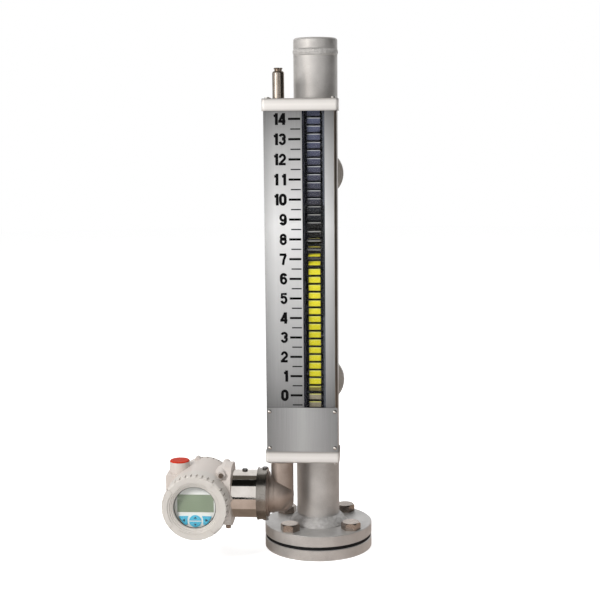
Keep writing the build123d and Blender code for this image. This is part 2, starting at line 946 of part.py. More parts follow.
def clamp_ring():
    """Ring that clamps the can to the flange of the elbow, with a lip at each edge."""
    inner = can_radius + running_clearance
    outer = inner + ring_wall
    right = elbow_flange_right
    ring = merged(
        [
            rod_x(outer, ring_left, right, arm_y, arm_z),
            rod_x(outer + ring_lip, ring_left, ring_left + ring_lip_width, arm_y, arm_z),
            rod_x(outer + ring_lip, right - ring_lip_width, right, arm_y, arm_z),
        ]
    )
    ring -= rod_x(inner, ring_left - 1, right + 1, arm_y, arm_z)
    hole_x = (elbow_flange_left + elbow_flange_right) / 2
    for way in (-1, 1):
        reach = way * (outer + 2 * ring_lip + 1)
        ring -= rod_z(
            arm_screw_shank + running_clearance,
            arm_z + min(0, reach),
            arm_z + max(0, reach),
            hole_x,
            arm_y,
        )
        seat = way * outer
        ring -= rod_z(
            arm_screw_head + running_clearance,
            arm_z + min(seat, reach),
            arm_z + max(seat, reach),
            hole_x,
            arm_y,
        )
    return ring


def sensor_can():
    """Polished can between the clamp ring and the housing."""
    can = rod_x(can_radius, can_left, elbow_flange_left, arm_y, arm_z)
    can -= rod_x(can_bore, can_left - 1, elbow_flange_left - can_end_wall, arm_y, arm_z)
    can -= rod_x(elbow_bore, elbow_flange_left - can_end_wall - 1, elbow_flange_left + 1, arm_y, arm_z)
    return can - rod_z(
        arm_screw_shank + running_clearance,
        arm_z,
        arm_z + can_radius + 1,
        can_screw_x,
        arm_y,
    )


def radial_screw(x, seat, way, depth, head):
    """Pan head screw set along Z from a round surface."""
    head_end = seat + way * head
    tip = seat - way * depth
    shank = rod_z(arm_screw_shank, min(seat, tip), max(seat, tip), x, arm_y)
    return shank + rod_z(arm_screw_head, min(seat, head_end), max(seat, head_end), x, arm_y)


def arm_screws():
    """Two screws through the clamp ring and one that holds the housing in the can."""
    ring_seat = can_radius + running_clearance + ring_wall
    hole_x = (elbow_flange_left + elbow_flange_right) / 2
    can_depth = can_wall + spigot_groove - soft_clearance / 2
    screws = [
        radial_screw(hole_x, arm_z + ring_seat, 1, arm_screw_depth, arm_screw_head_height),
        radial_screw(hole_x, arm_z - ring_seat, -1, arm_screw_depth, arm_screw_head_height),
        radial_screw(can_screw_x, arm_z + can_radius, 1, can_depth, arm_screw_head_height),
    ]
    return Compound(screws)


# Transmitter housing


def base_outline(front, rear):
    """Rounded outline of the neck base, front to rear by height."""
    return RectangleRounded(rear - front, 2 * base_half_height, base_corner)


def neck_base():
    """Base plate against the can with a tapered neck into the barrel."""
    plane = Plane(origin=(base_left, (base_front + base_rear) / 2, arm_z), x_dir=(0, 1, 0), z_dir=(1, 0, 0))
    plate = extrude(plane * base_outline(base_front, base_rear), base_thickness)
    middle = (base_front + barrel_rear - base_edge_step) / 2
    back = Plane(origin=(base_left, middle, arm_z), x_dir=(0, 1, 0), z_dir=(-1, 0, 0))
    neck = extrude(
        back * base_outline(base_front, barrel_rear - base_edge_step),
        base_taper_length,
        taper=base_taper,
    )
    return plate + neck


def entry_shoulder():
    """Block under the upper cable entry with a slope up to the top of the barrel."""
    left = entry_x - entry_block_side
    step = left + entry_block_step
    crest = math.radians(102)
    points = [
        (left, barrel_z),
        (left, entry_block_top),
        (step, entry_block_top),
        (barrel_x + barrel_radius * math.cos(crest), barrel_z + barrel_radius * math.sin(crest)),
        (barrel_x, barrel_z),
    ]
    face = make_face(Plane.XZ * Polyline(*points, close=True))
    middle = entry_y + (entry_block_rear - entry_block_front) / 2
    return Pos(0, middle, 0) * extrude(face, (entry_block_front + entry_block_rear) / 2, both=True)


def transmitter_housing():
    """Cast housing: barrel, neck base, spigot, cable entries and bosses."""
    barrel = rod_y(barrel_radius, barrel_front, barrel_rear, barrel_x, barrel_z)
    rims = barrel.edges().filter_by(GeomType.CIRCLE).sort_by(Axis.Y)
    barrel = fillet(rims[-1], barrel_rear_edge)
    front_rim = barrel.edges().filter_by(GeomType.CIRCLE).sort_by(Axis.Y)[0]
    barrel = fillet(front_rim, barrel_front_edge)
    body = merged(
        [
            barrel,
            neck_base(),
            entry_shoulder(),
            rod_z(entry_radius, barrel_z, entry_top, entry_x, entry_y),
            rod_z(entry_radius, lower_entry_z, barrel_z, entry_x, entry_y),
            rod_y(lock_boss_radius, base_front, base_rear, lock_x, lock_z),
            rod_y(
                rear_lug_radius,
                barrel_rear - rear_lug_length,
                barrel_rear,
                barrel_x + rear_lug_offset,
                barrel_z + rear_lug_rise,
            ),
            rod_y(front_collar_radius, barrel_front - collar_length, barrel_front + 1, barrel_x, barrel_z),
            rod_y(rear_collar_radius, barrel_rear - 1, barrel_rear + collar_length, barrel_x, barrel_z),
            rod_x(spigot_radius, can_left - 1, can_left + spigot_length, arm_y, arm_z),
        ]
    )
    body -= rod_y(front_bore, barrel_front - collar_length - 1, partition_front, barrel_x, barrel_z)
    body -= rod_y(rear_bore, partition_rear, barrel_rear + collar_length + 1, barrel_x, barrel_z)
    for x, dz, _ in around(3, board_boss_circle, 30):
        body += rod_y(
            board_boss,
            partition_front - board_standoff,
            partition_front + 1,
            barrel_x + x,
            barrel_z + dz,
        )
    body -= rod_y(
        wire_hole,
        partition_front - 1,
        partition_rear + 1,
        barrel_x + front_bore * 0.45,
        barrel_z,
    )
    body -= rod_x(
        spigot_radius - spigot_wall, barrel_x + front_bore * 0.8, can_left + spigot_length + 1, arm_y, arm_z
    )
    groove = rod_x(spigot_radius + 1, can_screw_x - 3, can_screw_x + 3, arm_y, arm_z)
    groove -= rod_x(spigot_radius - spigot_groove, can_screw_x - 4, can_screw_x + 4, arm_y, arm_z)
    body -= groove
    entry_depth = math.sqrt(rear_bore**2 - entry_offset**2) - cut_margin
    body -= rod_z(entry_bore, barrel_z + entry_depth, entry_top + 1, entry_x, entry_y)
    body -= rod_z(entry_bore, lower_entry_z - 1, barrel_z - entry_depth, entry_x, entry_y)
    seal_front = barrel_front - 2 * seal_section - 0.4
    seal_groove = rod_y(front_collar_radius + 1, seal_front, barrel_front, barrel_x, barrel_z)
    seal_groove -= rod_y(
        front_collar_radius - 2 * seal_section, seal_front - 1, barrel_front + 1, barrel_x, barrel_z
    )
    body -= seal_groove
    body -= rod_y(
        lock_screw_radius * 0.6 + running_clearance,
        base_front - 1,
        base_front + lock_screw_depth + 0.5,
        lock_x,
        lock_z,
    )
    ground_seat = arm_z - base_half_height
    body -= rod_z(
        ground_head * 0.6 + running_clearance,
        ground_seat - 1,
        ground_seat + ground_depth + 0.5,
        ground_x,
        ground_y,
    )
    return body


def grip_notches(radius, start, length, angles):
    """Cutters for the grip notches of a cover."""
    notch = Pos(radius, start + length / 2, 0) * Box(2 * notch_depth, length, notch_width)
    return [Pos(barrel_x, 0, barrel_z) * Rot(0, angle, 0) * notch for angle in angles]


def bezel_points():
    """Stepped slope from the face of the front cover down to its window."""
    points = []
    for step in range(bezel_steps):
        share = step / bezel_steps
        next_share = (step + 1) / bezel_steps
        radius = bezel_radius + (window_radius - bezel_radius) * share
        next_radius = bezel_radius + (window_radius - bezel_radius) * next_share
        ledge = radius + (next_radius - radius) * 0.45
        points.append((ledge, front_cover_face + bezel_depth * share))
        points.append((next_radius, front_cover_face + bezel_depth * next_share))
    return points[::-1]


def front_cover():
    """Screwed cover with a window, raised grip pads and a notched rim."""
    face = front_cover_face
    rear = barrel_front - cover_gap
    skirt_bore = front_collar_radius + seat_clearance
    seat_bore = cover_glass_radius + running_clearance
    profile = bezel_points() + [
        (bezel_radius + 0.4, face),
        (front_face_radius, face),
        (front_cover_radius - 0.8, face + 1.6),
        (front_cover_radius, face + 3.6),
        (front_cover_radius, rear),
        (skirt_bore, rear),
        (skirt_bore, face + skirt_start),
        (seat_bore, face + skirt_start),
        (seat_bore, face + glass_seat),
        (window_radius, face + glass_seat),
    ]
    cover = turned_y(profile, barrel_x, barrel_z)
    pad_ring = rod_y(pad_outer, face - pad_height, face + 1.5, barrel_x, barrel_z)
    pad_ring -= rod_y(pad_inner, face - pad_height - 1, face + 2, barrel_x, barrel_z)
    gap_half = pad_outer * math.sin(math.radians((360 / pad_count - pad_span) / 2))
    gap = Box(4 * pad_outer, 4 * pad_height + 4, 2 * gap_half)
    for index in range(pad_count // 2):
        turn = 45 + index * 360 / pad_count
        pad_ring -= Pos(barrel_x, face, barrel_z) * Rot(0, turn, 0) * gap
    cover = merged([cover] + list(pad_ring.solids()))
    angles = [
        pad * 360 / pad_count + (index - (pad_notches - 1) / 2) * notch_pitch
        for pad in range(pad_count)
        for index in range(pad_notches)
    ]
    start = face - pad_height - 0.5
    return cover - grip_notches(front_cover_radius, start, notch_length, angles)


def cover_glass():
    return rod_y(cover_glass_radius, glass_front_y + 0.02, glass_rear_y, barrel_x, barrel_z)


def front_cover_seal():
    """Rubber ring in the groove at the root of the front collar."""
    ring = Torus(front_collar_radius - seal_section - running_clearance, seal_section - running_clearance)
    return Pos(barrel_x, barrel_front - seal_section - 0.2, barrel_z) * Rot(90, 0, 0) * ring


def rear_cover():
    """Screwed rear cover with a notched rim."""
    front = barrel_rear + cover_gap
    inner_end = rear_cover_end - rear_cover_thickness
    skirt_bore = rear_collar_radius + seat_clearance
    profile = [
        (0, inner_end),
        (skirt_bore, inner_end),
        (skirt_bore, front),
        (rear_cover_radius, front),
        (rear_cover_radius, rear_cover_end - 2),
        (rear_cover_radius - 2, rear_cover_end),
        (0, rear_cover_end),
    ]
    cover = turned_y(profile, barrel_x, barrel_z)
    length = rear_cover_end - 2 - front - 3
    angles = [angle for _, _, angle in around(rear_notches, 1)]
    return cover - grip_notches(rear_cover_radius, front + 3, length, angles)


def rear_cover_seal():
    """Flat rubber ring against the inside of the rear cover."""
    rear = rear_cover_end - rear_cover_thickness
    outer = rear_collar_radius - soft_clearance
    front = rear - flat_seal_thickness
    ring = rod_y(outer, front, rear, barrel_x, barrel_z)
    return ring - rod_y(rear_bore, front - 1, rear + 1, barrel_x, barrel_z)


def display_module():
    """Round display unit with a recess for the screen."""
    face_rear = display_face_y + display_face_thickness
    body = rod_y(display_face_radius, display_face_y, face_rear, barrel_x, barrel_z)
    body += rod_y(display_radius, face_rear - 1, board_front_y, barrel_x, barrel_z)
    body -= lcd_shape(display_face_y - 1, display_face_y + lcd_recess, 0.0)
    return body


def lcd_shape(front, rear, gap):
    """Rectangle of the screen, trimmed to the round face."""
    left = barrel_x - lcd_width / 2 + gap
    low = barrel_z + lcd_offset_z - lcd_height / 2 + gap
    return block(left, left + lcd_width - 2 * gap, front, rear, low, low + lcd_height - 2 * gap)


def lcd_panel():
    return lcd_shape(display_face_y + lcd_recess / 2, display_face_y + lcd_recess, running_clearance)


def electronics_board():
    """Round circuit board with its larger components, on the bosses of the partition."""
    rear = partition_front - board_standoff
    board = rod_y(board_radius, board_front_y, rear, barrel_x, barrel_z)
    connector = block(
        barrel_x - 8,
        barrel_x + 8,
        rear - 0.5,
        rear + 8,
        barrel_z - 0.4 * board_radius,
        barrel_z - 0.17 * board_radius,
    )
    capacitor = rod_y(5, rear - 0.5, rear + 9, barrel_x - 4, barrel_z + 12)
    chip = block(
        barrel_x - 0.57 * board_radius,
        barrel_x - 0.23 * board_radius,
        rear - 0.5,
        rear + 2,
        barrel_z - 0.14 * board_radius,
        barrel_z + 0.2 * board_radius,
    )
    return merged([board, connector, capacitor, chip])


def terminal_places():
    """Terminal screws in a row as (x, z)."""
    first = barrel_x - terminal_pitch * (terminal_count - 1) / 2
    return [
        (first + index * terminal_pitch, barrel_z - terminal_height * 0.18)
        for index in range(terminal_count)
    ]


def terminal_block():
    """Terminal block on the rear of the partition, with ribs between its screws."""
    rear = partition_rear + terminal_depth
    left = barrel_x - terminal_width / 2
    right = barrel_x + terminal_width / 2
    low = barrel_z - terminal_height / 2
    body = block(left, right, partition_rear, rear, low, barrel_z + terminal_height / 2)
    for x, z in terminal_places():
        half = terminal_pitch * 0.36
        body -= block(x - half, x + half, rear - 3, rear + 1, low - 1, z + half)
        body -= rod_y(terminal_screw_radius * 0.5 + running_clearance, rear - 9, rear, x, z)
    return body


def terminal_screws():
    seat = partition_rear + terminal_depth - 3
    screws = []
    for x, z in terminal_places():
        head = rod_y(terminal_screw_radius, seat, seat + terminal_screw_height, x, z)
        screws.append(head + rod_y(terminal_screw_radius * 0.5, seat - 5, seat, x, z))
    return Compound(screws)


def entry_plug():
    """Transit plug in the upper cable entry, with two grip recesses."""
    low = entry_top + running_clearance
    high = low + entry_plug_head_height
    head = rod_z(entry_plug_head, low, high, entry_x, entry_y)
    head = chamfer(head.edges().group_by(Axis.Z)[-1], 0.9)
    for way in (-1, 1):
        head -= rod_z(entry_plug_grip, low - 1, high + 1, entry_x + way * (entry_plug_head + 1.4), entry_y)
    return head + rod_z(entry_plug_stem, low - entry_plug_depth, low + 1, entry_x, entry_y)


def blanking_plug():
    """Metal plug in the lower cable entry."""
    high = lower_entry_z
    low = high - blanking_head
    plug = rod_z(blanking_radius, low, high, entry_x, entry_y)
    plug += rod_z(entry_bore - running_clearance, high - 1, high + entry_plug_depth, entry_x, entry_y)
    return plug - Pos(entry_x, entry_y, low - 0.01) * hex_prism(blanking_hex, blanking_head + 3)


def cover_lock_screw():
    """Socket screw in the boss beside the front cover."""
    seat = base_front
    head = rod_y(lock_screw_radius, seat - lock_screw_head, seat, lock_x, lock_z)
    socket = Pos(lock_x, seat - lock_screw_head - 0.01, lock_z) * Rot(-90, 0, 0) * hex_prism(3.0, 2.0)
    screw = head + rod_y(lock_screw_radius * 0.6, seat - 0.5, seat + lock_screw_depth, lock_x, lock_z)
    return screw - socket


def ground_screw():
    """Earth screw under the neck base."""
    seat = arm_z - base_half_height
    head = rod_z(ground_head, seat - ground_head_height, seat, ground_x, ground_y)
    head -= block(
        ground_x - ground_head, ground_x + ground_head, ground_y - 0.6, ground_y + 0.6,
        seat - ground_head_height - 1, seat - ground_head_height + 1.2,
    )
    return head + rod_z(ground_head * 0.6, seat - 0.5, seat + ground_depth, ground_x, ground_y)


def build_parts():
    """Write every node."""
    os.makedirs("parts", exist_ok=True)
    moving_last = flag_fixed_count + flag_moving_count
    lower_end = (flag_z(flag_fixed_count - 1) + flag_z(flag_fixed_count)) / 2
    upper_end = (flag_z(moving_last - 1) + flag_z(moving_last)) / 2
    rail_low = flag_first_z - flag_pitch / 2 - rail_end_gap
    rail_high = header_high + cap_socket - seat_clearance
    makers = {
        "chamber_tube": chamber_tube,
        "chamber_cap": chamber_cap,
        "chamber_flange": chamber_flange,
        "flange_gasket": flange_gasket,
        "blind_flange": blind_flange,
        "flange_bolts": flange_bolts,
        "drain_plug": drain_plug,
        "lower_process_flange": lambda: process_flange(lower_process_z),
        "upper_process_flange": lambda: process_flange(upper_process_z),
        "header_saddles": header_saddles,
        "float_stop": float_stop,
        "float_shell": float_shell,
        "float_magnets": float_magnets,
        "header_body": header_body,
        "top_end_cap": top_end_cap,
        "bottom_end_cap": bottom_end_cap,
        "end_cap_screws": end_cap_screws,
        "scale_plate": scale_plate,
        "flag_window": flag_window,
        "flag_rail_lower": lambda: fixed_rail(0, flag_fixed_count, rail_low, lower_end),
        "flag_rail_middle": lambda: rail_piece(flag_fixed_count, moving_last, lower_end, upper_end),
        "flag_rail_upper": lambda: fixed_rail(moving_last, flag_count, upper_end, rail_high),
        "nameplate": nameplate,
        "nameplate_screws": nameplate_screws,
        "probe_tube": probe_tube,
        "probe_plug": probe_plug,
        "waveguide": waveguide,
        "elbow": elbow,
        "clamp_ring": clamp_ring,
        "sensor_can": sensor_can,
        "arm_screws": arm_screws,
        "transmitter_housing": transmitter_housing,
        "front_cover": front_cover,
        "cover_glass": cover_glass,
        "front_cover_seal": front_cover_seal,
        "rear_cover": rear_cover,
        "rear_cover_seal": rear_cover_seal,
        "display_module": display_module,
        "lcd_panel": lcd_panel,
        "electronics_board": electronics_board,
        "terminal_block": terminal_block,
        "terminal_screws": terminal_screws,
        "entry_plug": entry_plug,
        "blanking_plug": blanking_plug,
        "cover_lock_screw": cover_lock_screw,
        "ground_screw": ground_screw,
    }
    for name, maker in makers.items():
        save(name, maker())
    for index in range(flag_fixed_count, moving_last):
        save(f"flag_{index + 1:02d}", moving_flag(index))


if __name__ == "__main__":
    build_parts()
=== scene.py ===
"""Studio scene of a magnetic level gauge with its magnetostrictive level transmitter."""

import logging
import math
from collections.abc import Sequence
from dataclasses import dataclass, field
from enum import Enum
from typing import ClassVar

import bpy
from mathutils import Matrix, Vector


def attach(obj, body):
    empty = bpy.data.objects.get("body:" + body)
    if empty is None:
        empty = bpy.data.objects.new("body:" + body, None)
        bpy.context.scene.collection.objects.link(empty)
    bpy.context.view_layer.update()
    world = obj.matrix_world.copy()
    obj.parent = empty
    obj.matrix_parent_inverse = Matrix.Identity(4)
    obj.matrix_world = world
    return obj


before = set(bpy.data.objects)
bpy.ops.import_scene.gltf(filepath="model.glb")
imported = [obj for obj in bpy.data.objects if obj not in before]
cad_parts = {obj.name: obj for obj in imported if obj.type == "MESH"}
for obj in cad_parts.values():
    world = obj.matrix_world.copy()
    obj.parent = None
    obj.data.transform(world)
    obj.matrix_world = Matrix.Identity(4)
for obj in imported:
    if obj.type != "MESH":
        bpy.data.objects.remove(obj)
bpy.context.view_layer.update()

MM = 0.001
ROUND_SIDES = 96
EASED_FROM = math.radians(50)
LOG = logging.getLogger("level_gauge")

Colour = tuple[float, float, float]
Place = tuple[float, float, float]
Point = tuple[float, float]
Stop = tuple[float, Colour]
Socket = bpy.types.NodeSocket
Piece = bpy.types.Object

BLACK: Colour = (0.0, 0.0, 0.0)
WHITE: Colour = (1.0, 1.0, 1.0)


class Axis(Enum):
    """The three directions of the object's frame."""

    X = 0
    Y = 1
    Z = 2


@dataclass(frozen=True)
class Marks:
    """What a way of working leaves on a metal; low is where the dark tone ends in the pattern."""

    pattern: float
    detail: float
    share: float
    low: float
    depth: float
    strength: float


class Grain(Enum):
    """How a metal surface was worked."""

    BLASTED = Marks(1500.0, 3.0, 0.5, 0.3, 0.00012, 0.8)
    BRUSHED = Marks(2600.0, 3.0, 0.55, 0.32, 0.00004, 0.6)
    TURNED = Marks(1800.0, 2.0, 0.45, 0.35, 0.00006, 0.7)
    CAST = Marks(1700.0, 2.0, 0.35, 0.3, 0.00012, 0.6)
    POLISHED = Marks(900.0, 2.0, 0.0, 0.3, 0.00001, 0.25)


def tone(*screen: float) -> Colour:
    """Turns a screen colour of 0 to 255 into a linear one.

    Args:
        *screen: Its red, green and blue.

    Returns:
        The linear colour.
    """
    shares = [value / 255 for value in screen]
    return tuple(v / 12.92 if v <= 0.04045 else ((v + 0.055) / 1.055) ** 2.4 for v in shares)


def grey(value: float) -> Colour:
    """A neutral grey of one screen value."""
    return tone(value, value, value)


def dimmed(colour: Colour, share: float) -> Colour:
    """A colour with each channel at a share of its value."""
    red, green, blue = colour
    return (red * share, green * share, blue * share)


class NodeSheet:
    """A node tree and short ways to lay nodes in it."""

    def __init__(self, tree: bpy.types.NodeTree) -> None:
        """Takes the tree to fill."""
        self.tree = tree

    def add(self, kind: str, **settings: object) -> bpy.types.Node:
        """Adds a node.

        Args:
            kind: The node's Blender type.
            **settings: Properties of the node.

        Returns:
            The new node.
        """
        node = self.tree.nodes.new(kind)
        for key, value in settings.items():
            setattr(node, key, value)
        return node

    def feed(self, target: Socket, value: object) -> None:
        """Links a socket into a target, or sets the target's constant.

        Args:
            target: The socket to fill.
            value: A socket, a number or a colour.
        """
        if isinstance(value, bpy.types.NodeSocket):
            self.tree.links.new(value, target)
        elif isinstance(value, tuple) and len(value) == 3 and target.type == "RGBA":
            target.default_value = (*value, 1.0)
        else:
            target.default_value = value

    def math(self, operation: str, *values: object) -> Socket:
        """A math node of up to three sockets or numbers.

        Args:
            operation: The node's operation.
            *values: What it works on.

        Returns:
            The result.
        """
        node = self.add("ShaderNodeMath", operation=operation)
        for socket, value in zip(node.inputs, values):
            self.feed(socket, value)
        return node.outputs[0]

    def ranged(self, value: Socket, source: Point = (0.0, 1.0), result: Point = (0.0, 1.0)) -> Socket:
        """Maps a value from one range to another and keeps it inside.

        Args:
            value: The value.
            source: The two ends of its range.
            result: What the ends turn into.

        Returns:
            The mapped value.
        """
        node = self.add("ShaderNodeMapRange")
        self.feed(node.inputs["Value"], value)
        for key, end in zip(("From Min", "From Max", "To Min", "To Max"), (*source, *result)):
            node.inputs[key].default_value = end
        return node.outputs[0]

    def seen(self) -> Socket:
        """Tells the rays of the camera, of mirrors and of clear pieces from the rest.

        Returns:
            1 for those rays and 0 for the rest.
        """
        rays = self.add("ShaderNodeLightPath").outputs
        plain = self.math("MAXIMUM", rays["Is Camera Ray"], rays["Is Transmission Ray"])
        return self.math("MAXIMUM", plain, rays["Is Glossy Ray"])


class ShaderSheet(NodeSheet):
    """One material and short ways to lay its pattern and colour."""

    def __init__(self, name: str) -> None:
        """Makes an empty material with a Principled shader.

        Args:
            name: The material's name.
        """
        self.material = bpy.data.materials.new(name)
        self.material.use_nodes = True
        super().__init__(self.material.node_tree)
        self.shader = self.tree.nodes["Principled BSDF"]
        self.output = self.tree.nodes["Material Output"]
        self._place: Socket | None = None

    def shade(self, **values: object) -> None:
        """Links or sets the shader's own sockets; _ stands for a space in their names."""
        for key, value in values.items():
            self.feed(self.shader.inputs[key.replace("_", " ")], value)

    def place(self) -> Socket:
        """Where the shaded point lies.

        Returns:
            The object coordinates, from a node that is made once.
        """
        if self._place is None:
            self._place = self.add("ShaderNodeTexCoord").outputs["Object"]
        return self._place

    def mapped(self, **settings: Place) -> Socket:
        """Moves, turns and scales the object coordinates by a texture mapping.

        Args:
            **settings: The node's Location, Rotation and Scale; each undoes what it says.

        Returns:
            The coordinates to read a pattern at.
        """
        node = self.add("ShaderNodeMapping", vector_type="TEXTURE")
        self.feed(node.inputs["Vector"], self.place())
        for key, value in settings.items():
            node.inputs[key].default_value = value
        return node.outputs["Vector"]

    def split(self, source: Socket | None = None) -> list[Socket]:
        """Takes a vector apart.

        Args:
            source: The vector, or the object's own coordinates.

        Returns:
            Its three parts.
        """
        node = self.add("ShaderNodeSeparateXYZ")
        self.feed(node.inputs[0], source or self.place())
        return list(node.outputs)

    def noise(self, scale: float, detail: float = 3.0, source: Socket | None = None) -> Socket:
        """Smooth noise with a size in patterns a metre.

        Args:
            scale: Patterns a metre.
            detail: Octaves of the noise.
            source: The coordinates, or the object's own.

        Returns:
            The noise from 0 to 1.
        """
        node = self.add("ShaderNodeTexNoise")
        node.inputs["Scale"].default_value = scale
        node.inputs["Detail"].default_value = detail
        self.feed(node.inputs["Vector"], source or self.place())
        return node.outputs["Fac"]

    def ramp(self, factor: Socket, stops: Sequence[Stop], sharp: bool = False) -> Socket:
        """A colour ramp.

        Args:
            factor: The value to look up.
            stops: Places and colours in rising order.
            sharp: Whether the colours change in steps.

        Returns:
            The colour.
        """
        node = self.add("ShaderNodeValToRGB")
        node.color_ramp.interpolation = "CONSTANT" if sharp else "LINEAR"
        elements = node.color_ramp.elements
        elements[0].position, elements[1].position = stops[0][0], stops[-1][0]
        for position, _ in stops[1:-1]:
            elements.new(position)
        for element, (_, colour) in zip(elements, stops):
            element.color = (*colour, 1.0)
        self.feed(node.inputs["Fac"], factor)
        return node.outputs["Color"]

    def mix(self, factor: object, first: object, second: object, share: float = 1.0) -> Socket:
        """Mixes two colours.

        Args:
            factor: A socket or a number.
            first: The colour at 0.
            second: The colour at 1.
            share: How much of a socket's factor counts.

        Returns:
            The mixed colour.
        """
        node = self.add("ShaderNodeMix", data_type="RGBA")
        self.feed(node.inputs[0], factor if share == 1 else self.math("MULTIPLY", factor, share))
        self.feed(node.inputs[6], first)
        self.feed(node.inputs[7], second)
        return node.outputs[2]

    def gloss(self, pattern: Socket, roughness: float, spread: float) -> None:
        """Makes the roughness follow a pattern, a spread to either side."""
        self.shade(Roughness=self.ranged(pattern, result=(roughness - spread, roughness + spread)))

    def span(self, value: Socket, low: float, high: float, soft: float) -> Socket:
        """1 where a value lies between two limits, with soft edges.

        Args:
            value: The value to test.
            low: The lower limit.
            high: The upper limit.
            soft: Width of each edge.

        Returns:
            The mask from 0 to 1.
        """
        rise = self.ranged(value, (low - soft, low + soft))
        fall = self.ranged(value, (high - soft, high + soft), (1.0, 0.0))
        return self.math("MULTIPLY", rise, fall)

    def bump(
        self, height: Socket, distance: float, strength: float = 1.0, under: Socket | None = None
    ) -> Socket:
        """Adds a bump and feeds it to the shader.

        Args:
            height: Height pattern.
            distance: Depth of the bump in metres.
            strength: Strength of the effect.
            under: Normal of a bump under this one.

        Returns:
            The bumped normal.
        """
        node = self.add("ShaderNodeBump")
        node.inputs["Distance"].default_value = distance
        node.inputs["Strength"].default_value = strength
        self.feed(node.inputs["Height"], height)
        if under is not None:
            self.feed(node.inputs["Normal"], under)
        self.shade(Normal=node.outputs[0])
        return node.outputs[0]


@dataclass(frozen=True)
class Finish:
    """Base of all finishes: a named material made once."""

    name: str

    def material(self) -> bpy.types.Material:
        """Makes the material at its first use.

        Returns:
            The material.
        """
        found = bpy.data.materials.get(self.name)
        if found is None:
            sheet = ShaderSheet(self.name)
            self.lay(sheet)
            found = sheet.material
        return found

    def lay(self, sheet: ShaderSheet) -> None:
        """Lays the finish's nodes; each finish has its own."""
        raise NotImplementedError


@dataclass(frozen=True)
class MetalFinish(Finish):
    """Bare metal, worked in one of the named ways; lengths in metres, patterns counted a metre."""

    dark: Colour = (0.4, 0.4, 0.4)
    light: Colour = (0.6, 0.6, 0.6)
    roughness: float = 0.35
    spread: float = 0.08
    metallic: float = 1.0
    grain: Grain = Grain.BLASTED
    along: Axis = Axis.Z
    size: float = 1.0
    depth: float = 1.0
    welds: tuple[Point, ...] = ()
    weld_tint: float = 0.2
    weld_stain: Colour = (0.13, 0.11, 0.095)
    weld_fade: float = 0.35
    weld_relief: float = 0.0022
    weld_edge: float = 0.0007
    weld_pattern: float = 230.0
    cloud_pattern: float = 38.0
    cloud_low: float = 0.32
    cast_pattern: float = 260.0
    cast_depth: float = 0.0005
    shine_pattern: float = 120.0
    brushed_along: float = 14.0

    def tones(self, sheet: ShaderSheet, pattern: Socket, low: float) -> Socket:
        """The dark and the light tone, mixed by a pattern."""
        return sheet.ramp(pattern, [(low, self.dark), (1 - low, self.light)])

    def marks(self, sheet: ShaderSheet) -> Socket:
        """Makes the pattern of the marks, which run along or around the metal's axis.

        Args:
            sheet: The material to fill.

        Returns:
            The pattern.
        """
        marks = self.grain.value
        scale = marks.pattern / self.size
        if self.grain is Grain.BRUSHED:
            scales = [1 / scale] * 3
            scales[self.along.value] = 1 / self.brushed_along
            return sheet.noise(1.0, marks.detail, sheet.mapped(Scale=scales))
        if self.grain is Grain.TURNED:
            parts = sheet.split()
            along = parts.pop(self.along.value)
            squares = sheet.math("MULTIPLY", parts[1], parts[1])
            squares = sheet.math("MULTIPLY_ADD", parts[0], parts[0], squares)
            travel = sheet.add("ShaderNodeCombineXYZ")
            sheet.feed(travel.inputs[0], sheet.math("ADD", sheet.math("SQRT", squares), along))
            return sheet.noise(scale, marks.detail, travel.outputs[0])
        return sheet.noise(scale, marks.detail)

    def worked(self, sheet: ShaderSheet, colour: Socket) -> tuple[Socket, Socket]:
        """Lays the marks that the work left.

        Args:
            sheet: The material to fill.
            colour: The colour under the marks.

        Returns:
            The colour with the marks, and the pattern that the gloss follows.
        """
        marks, under = self.grain.value, None
        pattern = gloss = self.marks(sheet)
        if self.grain is Grain.CAST:
            gloss = sheet.noise(self.cast_pattern / self.size, 3.0)
            under = sheet.bump(gloss, self.cast_depth * self.depth, 0.5)
        sheet.bump(pattern, marks.depth * self.depth, marks.strength, under)
        if self.grain is Grain.POLISHED:
            return colour, sheet.noise(self.shine_pattern, 3.0)
        return sheet.mix(marks.share, colour, self.tones(sheet, pattern, marks.low)), gloss

    def welded(self, sheet: ShaderSheet, colour: Socket) -> Socket:
        """Lays the weld beads, which are rougher, duller and stained.

        Args:
            sheet: The material to fill.
            colour: The colour without the beads.

        Returns:
            The colour with the beads.
        """
        shine = self.metallic
        for low, high in self.welds:
            height = sheet.split()[2]
            bead = sheet.span(height, low, high, self.weld_edge)
            ripple = sheet.math("MULTIPLY", bead, sheet.noise(self.weld_pattern, 5.0))
            stain = sheet.ramp(ripple, [(0.4, (0, 0, 0)), (0.64, (1, 1, 1))])
            colour = sheet.mix(stain, colour, self.weld_stain, self.weld_tint)
            under = sheet.shader.inputs["Normal"].links[0].from_socket
            sheet.bump(ripple, self.weld_relief, 0.9, under)
            shine = sheet.math("SUBTRACT", shine, sheet.math("MULTIPLY", bead, self.weld_fade))
        sheet.shade(Metallic=shine)
        return colour

    def lay(self, sheet: ShaderSheet) -> None:
        """Lays cloudy colour, uneven gloss, the tool marks and the welds.

        Args:
            sheet: The material to fill.
        """
        colour = self.tones(sheet, sheet.noise(self.cloud_pattern, 4.0), self.cloud_low)
        colour, pattern = self.worked(sheet, colour)
        colour = self.welded(sheet, colour)
        sheet.gloss(pattern, self.roughness, self.spread)
        sheet.shade(Base_Color=colour)


